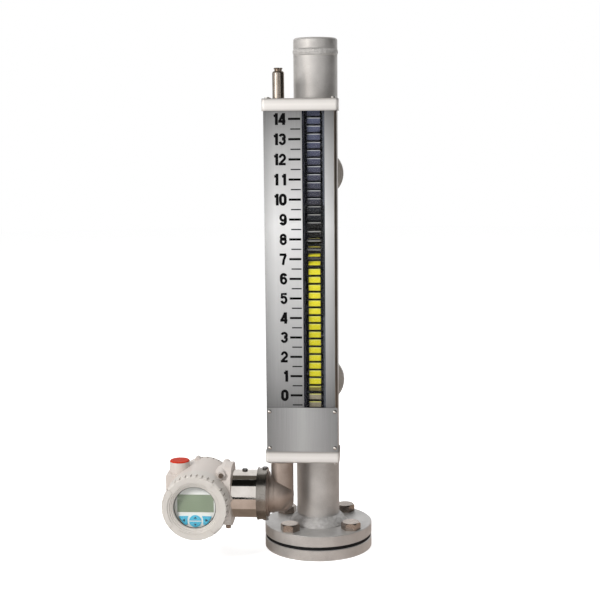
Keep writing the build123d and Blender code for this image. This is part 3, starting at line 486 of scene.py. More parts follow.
@dataclass(frozen=True)
class CapFinish(Finish):
    """Satin cast cap, with painted shade towards its upper and lower edge where the cap rounds off."""

    low: float = 0.0
    tall: float = 0.0165
    shades: tuple[Point, ...] = ((0.0, 166.0), (0.16, 212.0), (0.5, 227.0), (0.8, 212.0), (0.98, 142.0))
    speck: Colour = tone(150, 146, 140)
    speck_share: float = 0.12
    grain_pattern: float = 1300.0
    grain_depth: float = 0.00008
    roughness: float = 0.44
    metallic: float = 0.35

    def lay(self, sheet: ShaderSheet) -> None:
        """Lays the tone with its painted edge shade, a fine grain and the gloss.

        Args:
            sheet: The material to fill.
        """
        # painted shade: the ramp darkens the tone towards the cap's top and bottom edges
        rise = sheet.ranged(sheet.split()[2], (self.low, self.low + self.tall))
        colour = sheet.ramp(rise, [(place, tone(v, v - 4, v - 8)) for place, v in self.shades])
        fine = sheet.noise(self.grain_pattern, 3.0)
        colour = sheet.mix(fine, colour, self.speck, self.speck_share)
        sheet.bump(fine, self.grain_depth, 0.7)
        sheet.shade(Base_Color=colour, Metallic=self.metallic, Roughness=self.roughness)


@dataclass(frozen=True)
class PaintFinish(Finish):
    """Powder coat or moulded plastic with a fine orange-peel surface."""

    colour: Colour = (0.6, 0.6, 0.6)
    mottle: float = 0.06
    roughness: float = 0.4
    peel: float = 900.0
    depth: float = 0.00008
    shine: float = 0.4
    spread: float = 0.06
    cloud_pattern: float = 30.0
    speck_pattern: float = 2200.0
    speck_share: float = 0.25

    def lay(self, sheet: ShaderSheet) -> None:
        """Lays mottled colour, peel and uneven gloss.

        Args:
            sheet: The material to fill.
        """
        darker = dimmed(self.colour, 1 - self.mottle)
        clouds = sheet.noise(self.cloud_pattern, 4.0)
        colour = sheet.ramp(clouds, [(0.3, darker), (0.7, self.colour)])
        specks = sheet.ramp(sheet.noise(self.speck_pattern, 2.0), [(0.35, darker), (0.65, self.colour)])
        colour = sheet.mix(self.speck_share, colour, specks)
        sheet.gloss(clouds, self.roughness, self.spread)
        sheet.bump(sheet.noise(self.peel, 2.0), self.depth, 0.7)
        sheet.shade(Base_Color=colour, Specular_IOR_Level=self.shine)


@dataclass(frozen=True)
class ClearFinish(Finish):
    """Clear glass or plastic that lets the lamps through."""

    tint: Colour = (0.95, 0.97, 0.96)
    roughness: float = 0.02
    index: float = 1.45
    wipe_pattern: float = 60.0
    clean_share: float = 0.4
    wiped_share: float = 1.8

    def lay(self, sheet: ShaderSheet) -> None:
        """Lays a clear shader with faint wiping marks.

        Args:
            sheet: The material to fill.
        """
        ends = (self.roughness * self.clean_share, self.roughness * self.wiped_share)
        wipes = sheet.ranged(sheet.noise(self.wipe_pattern, 4.0), result=ends)
        sheet.shade(Base_Color=self.tint, Transmission_Weight=1.0, IOR=self.index, Roughness=wipes)
        rays = sheet.add("ShaderNodeLightPath")
        clear = sheet.add("ShaderNodeBsdfTransparent")
        sheet.feed(clear.inputs["Color"], self.tint)
        lit = sheet.math("MAXIMUM", rays.outputs["Is Shadow Ray"], rays.outputs["Is Diffuse Ray"])
        blend = sheet.add("ShaderNodeMixShader")
        for socket, source in zip(blend.inputs, (lit, sheet.shader.outputs[0], clear.outputs[0])):
            sheet.feed(socket, source)
        sheet.feed(sheet.output.inputs["Surface"], blend.outputs[0])


@dataclass(frozen=True)
class SheetFinish(Finish):
    """Satin aluminium sheet with a painted sheen that fades along its height and painted shade towards its
    edges.
    """

    stops: tuple[Point, ...] = ((0.0, 200.0), (1.0, 200.0))
    low: float = 0.0
    high: float = 1.0
    edge: float = 0.0
    edge_width: float = 0.014
    edge_share: float = 0.72
    far_edge: float = 0.0275
    roughness: float = 0.42
    metallic: float = 0.55
    spread: float = 0.05
    grain: Place = (1 / 2400, 1 / 2400, 1 / 12)
    grain_share: float = 0.06
    grain_depth: float = 0.00002
    streak_dark: Colour = (0.1, 0.1, 0.1)
    streak_light: Colour = (0.95, 0.95, 0.95)

    def lay(self, sheet: ShaderSheet) -> None:
        """Lays the painted sheen up its height, the painted edge shade, fine upright grain and gloss.

        Args:
            sheet: The material to fill.
        """
        across, _, height = sheet.split()
        # painted sheen: the tone changes up the sheet's height
        rise = sheet.ranged(height, (self.low, self.high))
        colour = sheet.ramp(rise, [(place, grey(value)) for place, value in self.stops])
        # painted shade: the tone darkens towards the sheet's left and right edges
        near = sheet.ranged(across, (self.edge, self.edge + self.edge_width), (self.edge_share, 1.0))
        far = sheet.ranged(across, (self.far_edge - self.edge_width, self.far_edge), (1.0, self.edge_share))
        colour = sheet.mix(sheet.math("MULTIPLY", near, far), BLACK, colour)
        lines = sheet.noise(1.0, 3.0, sheet.mapped(Scale=self.grain))
        streaks = sheet.ramp(lines, [(0.3, self.streak_dark), (0.7, self.streak_light)])
        sheet.bump(lines, self.grain_depth, 0.5)
        sheet.gloss(lines, self.roughness, self.spread)
        sheet.shade(Base_Color=sheet.mix(self.grain_share, colour, streaks), Metallic=self.metallic)


@dataclass(frozen=True)
class FlagSizes:
    """Where the indicator flags turn, how big they are and where their print ends, in metres."""

    count: int = 38
    first: float = 0.21764
    pitch: float = 0.01072
    axis_y: float = -0.0565
    above: float = 0.0036
    below: float = 0.0051
    yellow_half: float = 0.0082
    half: float = 0.0096
    rail_inner: float = 0.0099
    rail_outer: float = 0.02
    rail_front: float = 0.008
    rail_back: float = 0.006
    depth: float = 0.0048
    rim: float = 0.0007
    strip: float = 0.0109
    margin: float = 0.0003
    foot: float = 0.0004
    bright: float = 0.0016
    end: float = 0.0009
    lip_low: float = 0.0012
    lip_high: float = 0.001
    soft: float = 0.0002
    fine: float = 0.00015
    crisp: float = 0.00005


@dataclass(frozen=True)
class FlagPaint(Finish):
    """Base of the finishes that show flags, each with a dark and a yellow face."""

    sizes: FlagSizes = FlagSizes()
    # painted highlight along the top lip of the dark face
    trim: Colour = tone(176, 174, 172)
    # black is soot on the dark face, and painted shade round the faces' edges for the dark gaps between flags
    black: Colour = tone(18, 16, 18)
    glare: Colour = tone(236, 232, 120)
    dirt: Colour = tone(120, 116, 20)
    side: Colour = tone(44, 42, 40)
    glare_share: float = 0.75
    dirt_share: float = 0.16
    soot_share: float = 0.12
    grain_pattern: float = 700.0
    grain_depth: float = 0.00001
    roughness: float = 0.5
    shine: float = 0.2

    def paint(self, sheet: ShaderSheet, own: Sequence[Socket], slate: object, yellow: object) -> Socket:
        """Paints a flag's two faces in its own coordinates, with painted highlights and painted shade at
        their edges.

        Args:
            sheet: The material to fill.
            own: Place along the flag's axis, depth and height, with the dark face in front.
            slate: Colour of the dark face.
            yellow: Colour of the yellow face.

        Returns:
            The colour.
        """
        sizes = self.sizes
        across, through, up = own
        grain = sheet.noise(self.grain_pattern, 3.0)
        # painted shade: black margins round the yellow face and black ends of the dark face stand in for the
        # gaps between flags
        wide = sizes.yellow_half - sizes.margin
        tall = sheet.span(up, sizes.foot - sizes.below, sizes.above - sizes.margin, sizes.fine)
        inside = sheet.math("MULTIPLY", sheet.span(across, -wide, wide, sizes.soft), tall)
        # painted glare: a lighter strip along one edge of the yellow face
        strip = sheet.span(up, -sizes.below, sizes.bright - sizes.below, sizes.margin)
        bright = sheet.mix(strip, yellow, self.glare, self.glare_share)
        bright = sheet.mix(grain, bright, self.dirt, self.dirt_share)
        back = sheet.mix(inside, self.black, bright)
        ends = sheet.span(across, sizes.end - sizes.half, sizes.half - sizes.end, sizes.soft)
        front = sheet.mix(ends, self.black, slate)
        # painted highlight on the dark face's top lip
        lip = sheet.span(up, sizes.above - sizes.lip_low, sizes.above + sizes.lip_high, sizes.fine)
        front = sheet.mix(sheet.math("MULTIPLY", lip, ends), front, self.trim)
        front = sheet.mix(grain, front, self.black, self.soot_share)
        face = sizes.depth / 2 - sizes.rim
        behind = sheet.math("GREATER_THAN", through, face)
        within = sheet.math("GREATER_THAN", through, -face)
        sheet.bump(grain, self.grain_depth, 0.3)
        sheet.shade(Roughness=self.roughness, Specular_IOR_Level=self.shine)
        return sheet.mix(behind, sheet.mix(within, front, self.side), back)


@dataclass(frozen=True)
class FlagFinish(FlagPaint):
    """A flag that turns: dark slate in front at 0 degrees, yellow in front at 180."""

    height: float = 0.3
    rest: float = 0.0
    slate: Colour = tone(13, 11, 11)
    yellow: Colour = tone(238, 224, 52)

    def lay(self, sheet: ShaderSheet) -> None:
        """Lays both faces by the flag's own axis.

        Args:
            sheet: The material to fill.
        """
        own = sheet.mapped(
            Location=(0.0, self.sizes.axis_y, self.height), Rotation=(math.radians(self.rest), 0.0, 0.0)
        )
        sheet.shade(Base_Color=self.paint(sheet, sheet.split(own), self.slate, self.yellow))


@dataclass(frozen=True)
class RailFinish(FlagPaint):
    """Dark rail with the flags that are part of it; yellows change at counts of flags."""

    # painted highlight on the lips of the rail's flags
    trim: Colour = tone(196, 196, 200)
    turned: bool = True
    rail: Colour = tone(20, 21, 26)
    rail_light: Colour = tone(44, 48, 58)
    rail_pattern: float = 240.0
    left_side: Colour = tone(44, 44, 54)
    right_side: Colour = tone(84, 86, 94)
    # painted light: the dark faces grow lighter and bluer up the column
    slates: tuple[Stop, ...] = (
        (0.5, tone(30, 28, 28)),
        (0.64, tone(44, 42, 46)),
        (0.74, tone(66, 66, 80)),
        (1.0, tone(84, 88, 112)),
    )
    yellows: tuple[Stop, ...] = (
        (0.0, tone(150, 140, 122)),
        (1.5, tone(128, 118, 60)),
        (2.5, tone(222, 210, 40)),
        (38.0, tone(238, 224, 52)),
    )

    def lay(self, sheet: ShaderSheet) -> None:
        """Lays rail colour, with painted shade and painted light on its side strips, and flag colour between
        them.

        Args:
            sheet: The material to fill.
        """
        sizes = self.sizes
        across, deep, height = sheet.split()
        steps = sheet.math("SUBTRACT", height, sizes.first - sizes.pitch / 2)
        steps = sheet.math("FRACT", sheet.math("DIVIDE", steps, sizes.pitch))
        up = sheet.math("MULTIPLY", sheet.math("SUBTRACT", steps, 0.5), sizes.pitch)
        through = sheet.math("SUBTRACT", deep, sizes.axis_y)
        if self.turned:
            up, through = [sheet.math("MULTIPLY", part, -1.0) for part in (up, through)]
        rise = sheet.ranged(height, (sizes.first, sizes.first + sizes.count * sizes.pitch))
        slate = sheet.ramp(rise, self.slates)
        yellow = sheet.ramp(rise, [(flags / sizes.count, colour) for flags, colour in self.yellows], True)
        colour = self.paint(sheet, (across, through, up), slate, yellow)
        between = sheet.span(across, -sizes.rail_inner, sizes.rail_inner, sizes.crisp)
        in_front = sheet.span(
            deep, sizes.axis_y - sizes.rail_front, sizes.axis_y + sizes.rail_back, sizes.soft
        )
        lit = sheet.mix(sheet.noise(self.rail_pattern, 3.0), self.rail, self.rail_light)
        # painted shade on the left side strip and painted light on the right one
        left = sheet.span(across, -sizes.rail_outer, -sizes.strip, sizes.soft)
        right = sheet.span(across, sizes.strip, sizes.rail_outer, sizes.soft)
        lit = sheet.mix(right, sheet.mix(left, lit, self.left_side), self.right_side)
        sheet.shade(Base_Color=sheet.mix(sheet.math("MULTIPLY", between, in_front), lit, colour))


@dataclass(frozen=True)
class LcdFinish(Finish):
    """Blank liquid-crystal screen: grey-green with a faint dot raster."""

    colour: Colour = tone(122, 138, 110)
    haze: Colour = tone(196, 204, 190)
    between_dots: float = 0.86
    dot: float = 0.0007
    dot_depth: float = 0.00001
    haze_pattern: float = 45.0
    haze_share: float = 0.2
    roughness: float = 0.28

    def lay(self, sheet: ShaderSheet) -> None:
        """Lays the raster and the screen's gloss.

        Args:
            sheet: The material to fill.
        """
        across, _, height = sheet.split()
        turns = 2 * math.pi / self.dot
        columns, rows = [sheet.math("SINE", sheet.math("MULTIPLY", way, turns)) for way in (across, height)]
        raster = sheet.math("MULTIPLY_ADD", sheet.math("MAXIMUM", columns, rows), 0.5, 0.5)
        colour = sheet.mix(raster, self.colour, dimmed(self.colour, self.between_dots))
        colour = sheet.mix(sheet.noise(self.haze_pattern, 2.0), colour, self.haze, self.haze_share)
        sheet.bump(raster, self.dot_depth, 0.2)
        sheet.shade(Base_Color=colour, Roughness=self.roughness)


# Each metal's dark and light tone are followed by its roughness, spread, metallic and grain.
STEEL = MetalFinish("blasted_stainless", tone(142, 137, 132), tone(182, 177, 171), 0.42, 0.07, 0.9)
TUBE_STEEL = MetalFinish(
    "chamber_stainless", tone(167, 164, 161), tone(209, 206, 203), 0.48, 0.07, 0.62,
    welds=((0.0352, 0.0492), (0.6915, 0.6995)),
)
FLANGE_STEEL = MetalFinish(
    "blasted_flange", tone(176, 174, 172), tone(213, 211, 209), 0.44, 0.07, 0.72,
    size=1.1, welds=((0.0357, 0.0492),),
)
BOLT_STEEL = MetalFinish(
    "bolt_stainless", tone(126, 116, 108), tone(190, 178, 168), 0.26, 0.07, grain=Grain.TURNED, size=1.4
)
HEADER_METAL = MetalFinish(
    "anodised_header", tone(108, 100, 91), tone(134, 125, 115), 0.38, 0.06, 0.8, Grain.BRUSHED
)
SCREW_METAL = MetalFinish(
    "polished_screw", tone(176, 174, 170), tone(214, 212, 208), 0.16, 0.05, grain=Grain.POLISHED
)
DARK_SCREW = MetalFinish(
    "dark_screw", tone(84, 82, 82), tone(120, 118, 116), 0.32, grain=Grain.TURNED, along=Axis.Y
)
HEAD_SCREW = MetalFinish(
    "head_screw", tone(112, 100, 90), tone(168, 154, 142), 0.24, grain=Grain.TURNED, along=Axis.Y
)
PROBE_METAL = MetalFinish(
    "polished_probe", tone(150, 140, 130), tone(190, 180, 170), 0.18, 0.06, grain=Grain.TURNED
)
CAST_METAL = MetalFinish(
    "satin_elbow", tone(144, 132, 124), tone(182, 169, 160), 0.46, 0.08, 0.85, Grain.CAST, size=0.8, depth=0.6
)
CAN_METAL = MetalFinish(
    "mirror_can", tone(204, 197, 190), tone(226, 220, 214), 0.08, 0.03, grain=Grain.POLISHED
)
RING_METAL = MetalFinish(
    "polished_ring", tone(130, 125, 119), tone(162, 157, 151), 0.24, 0.04, grain=Grain.POLISHED
)
FLOAT_METAL = MetalFinish(
    "float_stainless", tone(170, 168, 165), tone(200, 198, 195), 0.22, 0.05, grain=Grain.BRUSHED
)
MAGNET_METAL = MetalFinish(
    "sintered_magnet", tone(78, 78, 82), tone(108, 108, 112), 0.5, 0.08, 0.8, Grain.CAST
)
# Each paint's colour is followed by its mottle, roughness, peel, depth and shine.
HOUSING_PAINT = PaintFinish("housing_powder_coat", tone(209, 200, 193), 0.06, 0.42, 850.0, 0.00012, 0.35)
COVER_PAINT = PaintFinish("cover_powder_coat", tone(206, 200, 193), 0.06, 0.42, 850.0, 0.00012, 0.35)
RUBBER_BLACK = PaintFinish("seal_rubber", tone(20, 21, 22), 0.2, 0.66, 1400.0, 0.00005, 0.2)
FACE_PLASTIC = PaintFinish("display_face", tone(232, 233, 230), 0.03, 0.42, 1600.0, 0.00003)
RAIL_PLASTIC = PaintFinish("rail_plastic", tone(30, 32, 40), 0.3, 0.45, 900.0, 0.00005)
BOARD_GREEN = PaintFinish("board_lacquer", tone(34, 92, 52), 0.15, 0.3, 500.0, 0.00003)
TERMINAL_BLACK = PaintFinish("terminal_plastic", tone(34, 34, 36), 0.15, 0.45, 1200.0, 0.00004)
TRANSIT_RED = PaintFinish("transit_plug_red", tone(194, 50, 24), 0.12, 0.5, 500.0, 0.00003, 0.12)
KEY_BLUE = PaintFinish("key_blue", tone(84, 186, 218), 0.05, 0.4, 1500.0, 0.00003, 0.25)
MARK_GREY = PaintFinish("key_mark", tone(52, 68, 80), 0.1, 0.5, 1500.0, 0.00002, 0.2)
PRINT_BLACK = PaintFinish("print_black", tone(8, 8, 9), 0.2, 0.6, 1800.0, 0.00001, 0.05)
PRINT_GREY = PaintFinish("print_grey", tone(34, 34, 36), 0.2, 0.6, 1800.0, 0.00001, 0.05)
# painted shade: a dark ring at the glass's rim where the cover's recess shades it
RECESS_SHADE_RING = PaintFinish("glass_recess_shade", tone(52, 50, 46), 0.1, 0.5, 900.0, 0.00001, 0.2)
# Each clear finish's tint is followed by its roughness and index.
WINDOW_CLEAR = ClearFinish("window_strip", (0.97, 0.98, 0.98), 0.02, 1.12)
GLASS_CLEAR = ClearFinish("cover_glass_clear", (0.985, 0.985, 0.98), 0.015, 1.2)
# Each sheet's painted sheen tones up its height are followed by the fields of its class in their order; its
# edge fields set its painted edge shade.
PLATE_METAL = SheetFinish(
    "satin_nameplate", ((0.0, 166.0), (1.0, 162.0)), 0.1545, 0.216, -0.066, 0.046, 0.5, 0.031, 0.4, 0.8
)
SCALE_SHEET = SheetFinish(
    "satin_scale",
    ((0.0, 104.0), (0.1, 138.0), (0.3, 172.0), (0.62, 217.0), (0.86, 170.0), (1.0, 112.0)),
    0.216, 0.616, -0.066, 0.014, 0.7,
)


def dress(node: str, finish: Finish) -> None:
    """Gives every slot of a carried-over node one finish.

    Args:
        node: The node's name.
        finish: The finish.
    """
    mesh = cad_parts[node].data
    material = finish.material()
    if not mesh.materials:
        mesh.materials.append(material)
    for index in range(len(mesh.materials)):
        mesh.materials[index] = material
    LOG.info("%s: %s", node, finish.name)


def pick(*pieces: Piece) -> None:
    """Selects some pieces and nothing else.

    Args:
        *pieces: The pieces, of which the first is made active.
    """
    if bpy.context.mode != "OBJECT":
        bpy.ops.object.mode_set(mode="OBJECT")
    bpy.ops.object.select_all(action="DESELECT")
    for piece in pieces:
        piece.select_set(True)
    if pieces:
        bpy.context.view_layer.objects.active = pieces[0]


def settle(piece: Piece) -> Piece:
    """Puts a piece's place, turn and scale into its mesh.

    Args:
        piece: The piece.

    Returns:
        The same piece.
    """
    pick(piece)
    bpy.ops.object.transform_apply(location=True, rotation=True, scale=True)
    return piece


def modified(piece: Piece, kind: str, **settings: object) -> Piece:
    """Adds a modifier to a piece and applies it.

    Args:
        piece: The piece.
        kind: The modifier's Blender type.
        **settings: Its settings.

    Returns:
        The piece.
    """
    modifier = piece.modifiers.new(kind.lower(), kind)
    for key, value in settings.items():
        setattr(modifier, key, value)
    pick(piece)
    bpy.ops.object.modifier_apply(modifier=modifier.name)
    return piece


def join(pieces: Sequence[Piece], name: str) -> Piece:
    """Joins pieces into one.

    Args:
        pieces: The pieces, of which the first stays.
        name: Name of the joined piece.

    Returns:
        The joined piece.
    """
    pick(*pieces)
    bpy.ops.object.join()
    joined = bpy.context.view_layer.objects.active
    joined.name = joined.data.name = name
    return joined


def finish_piece(piece: Piece, finish: Finish, body: str) -> None:
    """Dresses a new piece and lets it ride on its body.

    Args:
        piece: The piece.
        finish: Its finish.
        body: The CAD body that it moves with.
    """
    piece.data.materials.clear()
    piece.data.materials.append(finish.material())
    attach(piece, body)
    LOG.info("%s: %d faces on %s", piece.name, len(piece.data.polygons), body)


def slab(name: str, low: Sequence[float], high: Sequence[float]) -> Piece:
    """A box between two corners in millimetres.

    Args:
        name: Name of the piece.
        low: Lowest corner.
        high: Highest corner.

    Returns:
        The piece.
    """
    pick()
    bpy.ops.mesh.primitive_cube_add(size=1.0, location=[(a + b) / 2 * MM for a, b in zip(low, high)])
    piece = bpy.context.object
    piece.name = name
    piece.scale = [(b - a) * MM for a, b in zip(low, high)]
    return settle(piece)


def outline_slab(name: str, points: Sequence[Point], front: float, depth: float, edge: float = 0.0) -> Piece:
    """A flat shape in the X-Z plane, pushed back from its front face.

    Args:
        name: Name of the piece.
        points: Corners as (x, z) in millimetres, counter-clockwise seen from the front.
        front: Y of the front face in millimetres.
        depth: Thickness in millimetres.
        edge: Width of the eased front edge.

    Returns:
        The piece.
    """
    pick()
    bpy.ops.mesh.primitive_circle_add(vertices=len(points), radius=1.0, fill_type="NGON")
    piece = bpy.context.object
    piece.name = name
    for vertex, (x, z) in zip(piece.data.vertices, points):
        vertex.co = (x * MM, front * MM, z * MM)
    bpy.ops.object.mode_set(mode="EDIT")
    bpy.ops.mesh.select_all(action="SELECT")
    bpy.ops.mesh.extrude_region_move(TRANSFORM_OT_translate={"value": (0, depth * MM, 0)})
    bpy.ops.mesh.select_all(action="SELECT")
    bpy.ops.mesh.normals_make_consistent(inside=False)
    bpy.ops.object.mode_set(mode="OBJECT")
    if edge == 0:
        return piece
    return modified(
        piece, "BEVEL", width=edge * MM, segments=2, limit_method="ANGLE", angle_limit=EASED_FROM
    )


class Assembly:
    """A group of nodes that are dressed together, by a table of their finishes."""

    looks: ClassVar[dict[Finish, str]] = {}

    def build(self) -> None:
        """Gives the group's nodes their finishes."""
        for finish, nodes in self.looks.items():
            for node in nodes.split():
                dress(node, finish)


class Chamber(Assembly):
    """The float chamber with its flanges, bolting and float."""

    looks = {
        TUBE_STEEL: "chamber_tube chamber_cap",
        FLANGE_STEEL: "chamber_flange blind_flange",
        STEEL: "lower_process_flange upper_process_flange header_saddles float_stop",
        BOLT_STEEL: "flange_bolts drain_plug",
        RUBBER_BLACK: "flange_gasket",
        FLOAT_METAL: "float_shell",
        MAGNET_METAL: "float_magnets",
    }


class Header(Assembly):
    """The indicator header: extrusion, end caps, nameplate and screws."""

    looks = {
        HEADER_METAL: "header_body",
        CapFinish("satin_top_cap", 0.616): "top_end_cap",
        CapFinish("satin_bottom_cap", 0.138): "bottom_end_cap",
        SCREW_METAL: "end_cap_screws nameplate_screws",
        PLATE_METAL: "nameplate",
        WINDOW_CLEAR: "flag_window",
    }


@dataclass
class Scale(Assembly):
    """The scale plate with its marks and figures, sizes in millimetres."""

    front: float = -70.0
    print_depth: float = 0.06
    sunk: float = 0.02
    zero: float = 233.0
    step: float = 26.6
    last: int = 14
    long_left: float = -33.0
    half_left: float = -30.2
    marks_right: float = -16.8
    long_height: float = 3.0
    half_height: float = 1.7
    figure_right: float = -35.8
    figure_height: float = 15.5
    figure_width: float = 10.3
    figure_stroke: float = 3.9
    arc_step: float = 12.0

    looks = {SCALE_SHEET: "scale_plate"}

    def marks(self, name: str, left: float, tall: float, steps: Sequence[float]) -> Piece:
        """Builds one set of the scale's marks.

        Args:
            name: Name of the set.
            left: Left end of the marks.
            tall: Height of a mark.
            steps: Where the marks stand, in steps from zero.

        Returns:
            The joined marks.
        """
        front, back = self.front - self.print_depth, self.front + self.sunk
        heights = [self.zero + step * self.step for step in steps]
        marks = [
            slab("mark", (left, front, height - tall / 2), (self.marks_right, back, height + tall / 2))
            for height in heights
        ]
        return join(marks, name)

    def bow(self, height: float, rise: float, start: float, stop: float, share: float = 1.0) -> list[Point]:
        """Points of an arc about a figure's middle line.

        Args:
            height: Height of the arc's centre.
            rise: Its half height.
            start: Angle of its first point in degrees.
            stop: Angle of its last point in degrees.
            share: Its width as a share of the figure's.

        Returns:
            The points as (x, z).
        """
        reach = share * (self.figure_width - self.figure_stroke) / 2
        steps = max(int(abs(stop - start) / self.arc_step), 4)
        angles = [math.radians(start + (stop - start) * i / steps) for i in range(steps + 1)]
        return [(self.figure_width / 2 + reach * math.cos(a), height + rise * math.sin(a)) for a in angles]

    def strokes(self, digit: int) -> list[list[Point]]:
        """Centre lines of one figure's strokes.

        Args:
            digit: The figure, 0 to 9.

        Returns:
            Each stroke's points as (x, z) from the figure's lower left corner.
        """
        bow, half, tall = self.bow, self.figure_stroke / 2, self.figure_height
        left, middle, right = half, self.figure_width / 2, self.figure_width - half
        low, high = half * 0.86, tall - half * 0.86
        wide = (self.figure_width - self.figure_stroke) / 2 * 1.15
        big, loop, small, hook = tall * 0.265, tall * 0.235, tall * 0.205, tall * 0.24
        stem = self.figure_width - 2.35
        if digit == 0:
            side = [(right, tall / 2)]
            return [side + bow(high - wide, wide, 0, 180) + bow(low + wide, wide, 180, 360) + side]
        if digit == 9:
            return [[(self.figure_width - x, tall - z) for x, z in line] for line in self.strokes(6)]
        return {
            1: [[(stem, 0), (stem, tall)], [(stem, tall - 3.1), (stem - 3.6, tall - 3.7)]],
            2: [
                bow(high - tall * 0.25, tall * 0.25, 178, -25) + [(left + 0.5, low + 1.2)],
                [(0.1, low), (right + 1.2, low)],
            ],
            3: [bow(high - small, small, 165, -95), bow(low + hook, hook, 92, -168)],
            4: [
                [(right - 1.1, 0), (right - 1.1, tall)],
                [(right - 1.5, tall - 0.6), (left - 0.2, 4.6)],
                [(0, 4.5), (right + 1.4, 4.5)],
            ],
            5: [
                [(right + 0.8, high), (left + 0.7, high), (left + 0.4, tall * 0.5)],
                bow(low + big, big, 150, -165),
            ],
            6: [
                bow(low + loop, loop, 180, 540),
                [(left, low + tall * 0.22)] + bow(high - wide, wide, 180, 22),
            ],
            7: [
                [(0, high), (right + 0.6, high)],
                [(right - 0.1, high), (middle + 0.5, tall * 0.45), (middle - 0.6, 0)],
            ],
            8: [bow(low + loop, loop, 0, 360), bow(high - small, small, 0, 360, 0.92)],
        }[digit]

    def figure(self, value: int) -> Piece:
        """Builds one number as flat pen strokes on the plate.

        Args:
            value: The number to print.

        Returns:
            The number's piece.
        """
        pick()
        bpy.ops.curve.primitive_nurbs_path_add()
        curve = bpy.context.object.data
        curve.splines.clear()
        curve.dimensions = "3D"
        curve.bevel_depth = self.figure_stroke / 2 * MM
        curve.bevel_resolution = 1
        curve.use_fill_caps = True
        base = self.zero + value * self.step - self.figure_height / 2
        digits = str(value)
        for place, digit in enumerate(digits):
            start = self.figure_right - self.figure_width * (len(digits) - place)
            for stroke in self.strokes(int(digit)):
                line = curve.splines.new("POLY")
                line.points.add(len(stroke) - 1)
                for point, (x, z) in zip(line.points, stroke):
                    point.co = ((start + x) * MM, 0.0, (base + z) * MM, 1.0)
        bpy.ops.object.convert(target="MESH")
        piece = bpy.context.object
        flat = self.print_depth / self.figure_stroke
        for vertex in piece.data.vertices:
            vertex.co.y = self.front * MM + vertex.co.y * flat
        return piece

    def build(self) -> None:
        """Dresses the plate and builds its marks and figures."""
        super().build()
        values = range(self.last + 1)
        between = [value + 0.5 for value in values[:-1]] + [-0.5]
        longs = self.marks("scale_long_marks", self.long_left, self.long_height, values)
        halves = self.marks("scale_half_marks", self.half_left, self.half_height, between)
        finish_piece(longs, PRINT_BLACK, "gauge")
        finish_piece(halves, PRINT_GREY, "gauge")
        figures = [self.figure(value) for value in values]
        finish_piece(join(figures, "scale_figures"), PRINT_BLACK, "gauge")


@dataclass
class FlagColumn(Assembly):
    """The column of two-coloured flags and the rails that carry them; rests in degrees."""

    sizes: FlagSizes = field(default_factory=FlagSizes)
    first_moving: int = 12
    last_moving: int = 25
    last_turned: int = 19
    first_lit: int = 24
    lit_slate: Colour = tone(22, 24, 30)
    rests: dict[int, float] = field(
        default_factory=lambda: {17: 174.0, 18: 126.0, 19: 110.0, 20: 78.0, 21: 56.0, 22: 24.0}
    )

    looks = {
        RailFinish("rail_with_yellow"): "flag_rail_lower",
        RailFinish("rail_with_slate", turned=False): "flag_rail_upper",
        RAIL_PLASTIC: "flag_rail_middle",
    }

    def build(self) -> None:
        """Gives the rails and each flag their finishes."""
        super().build()
        for index in range(self.first_moving, self.last_moving + 1):
            rest = self.rests.get(index, 180.0 if index <= self.last_turned else 0.0)
            height = self.sizes.first + index * self.sizes.pitch
            slate = FlagFinish.slate if index < self.first_lit else self.lit_slate
            name = f"flag_colours_{index + 1}"
            finish = FlagFinish(name, self.sizes, height=height, rest=rest, slate=slate)
            dress(f"flag_{index + 1}", finish)


class ProbeArm(Assembly):
    """The sensing probe, its elbow, clamp ring and can."""

    looks = {
        PROBE_METAL: "probe_tube probe_plug",
        SCREW_METAL: "waveguide",
        CAST_METAL: "elbow",
        RING_METAL: "clamp_ring",
        CAN_METAL: "sensor_can",
        DARK_SCREW: "arm_screws",
    }


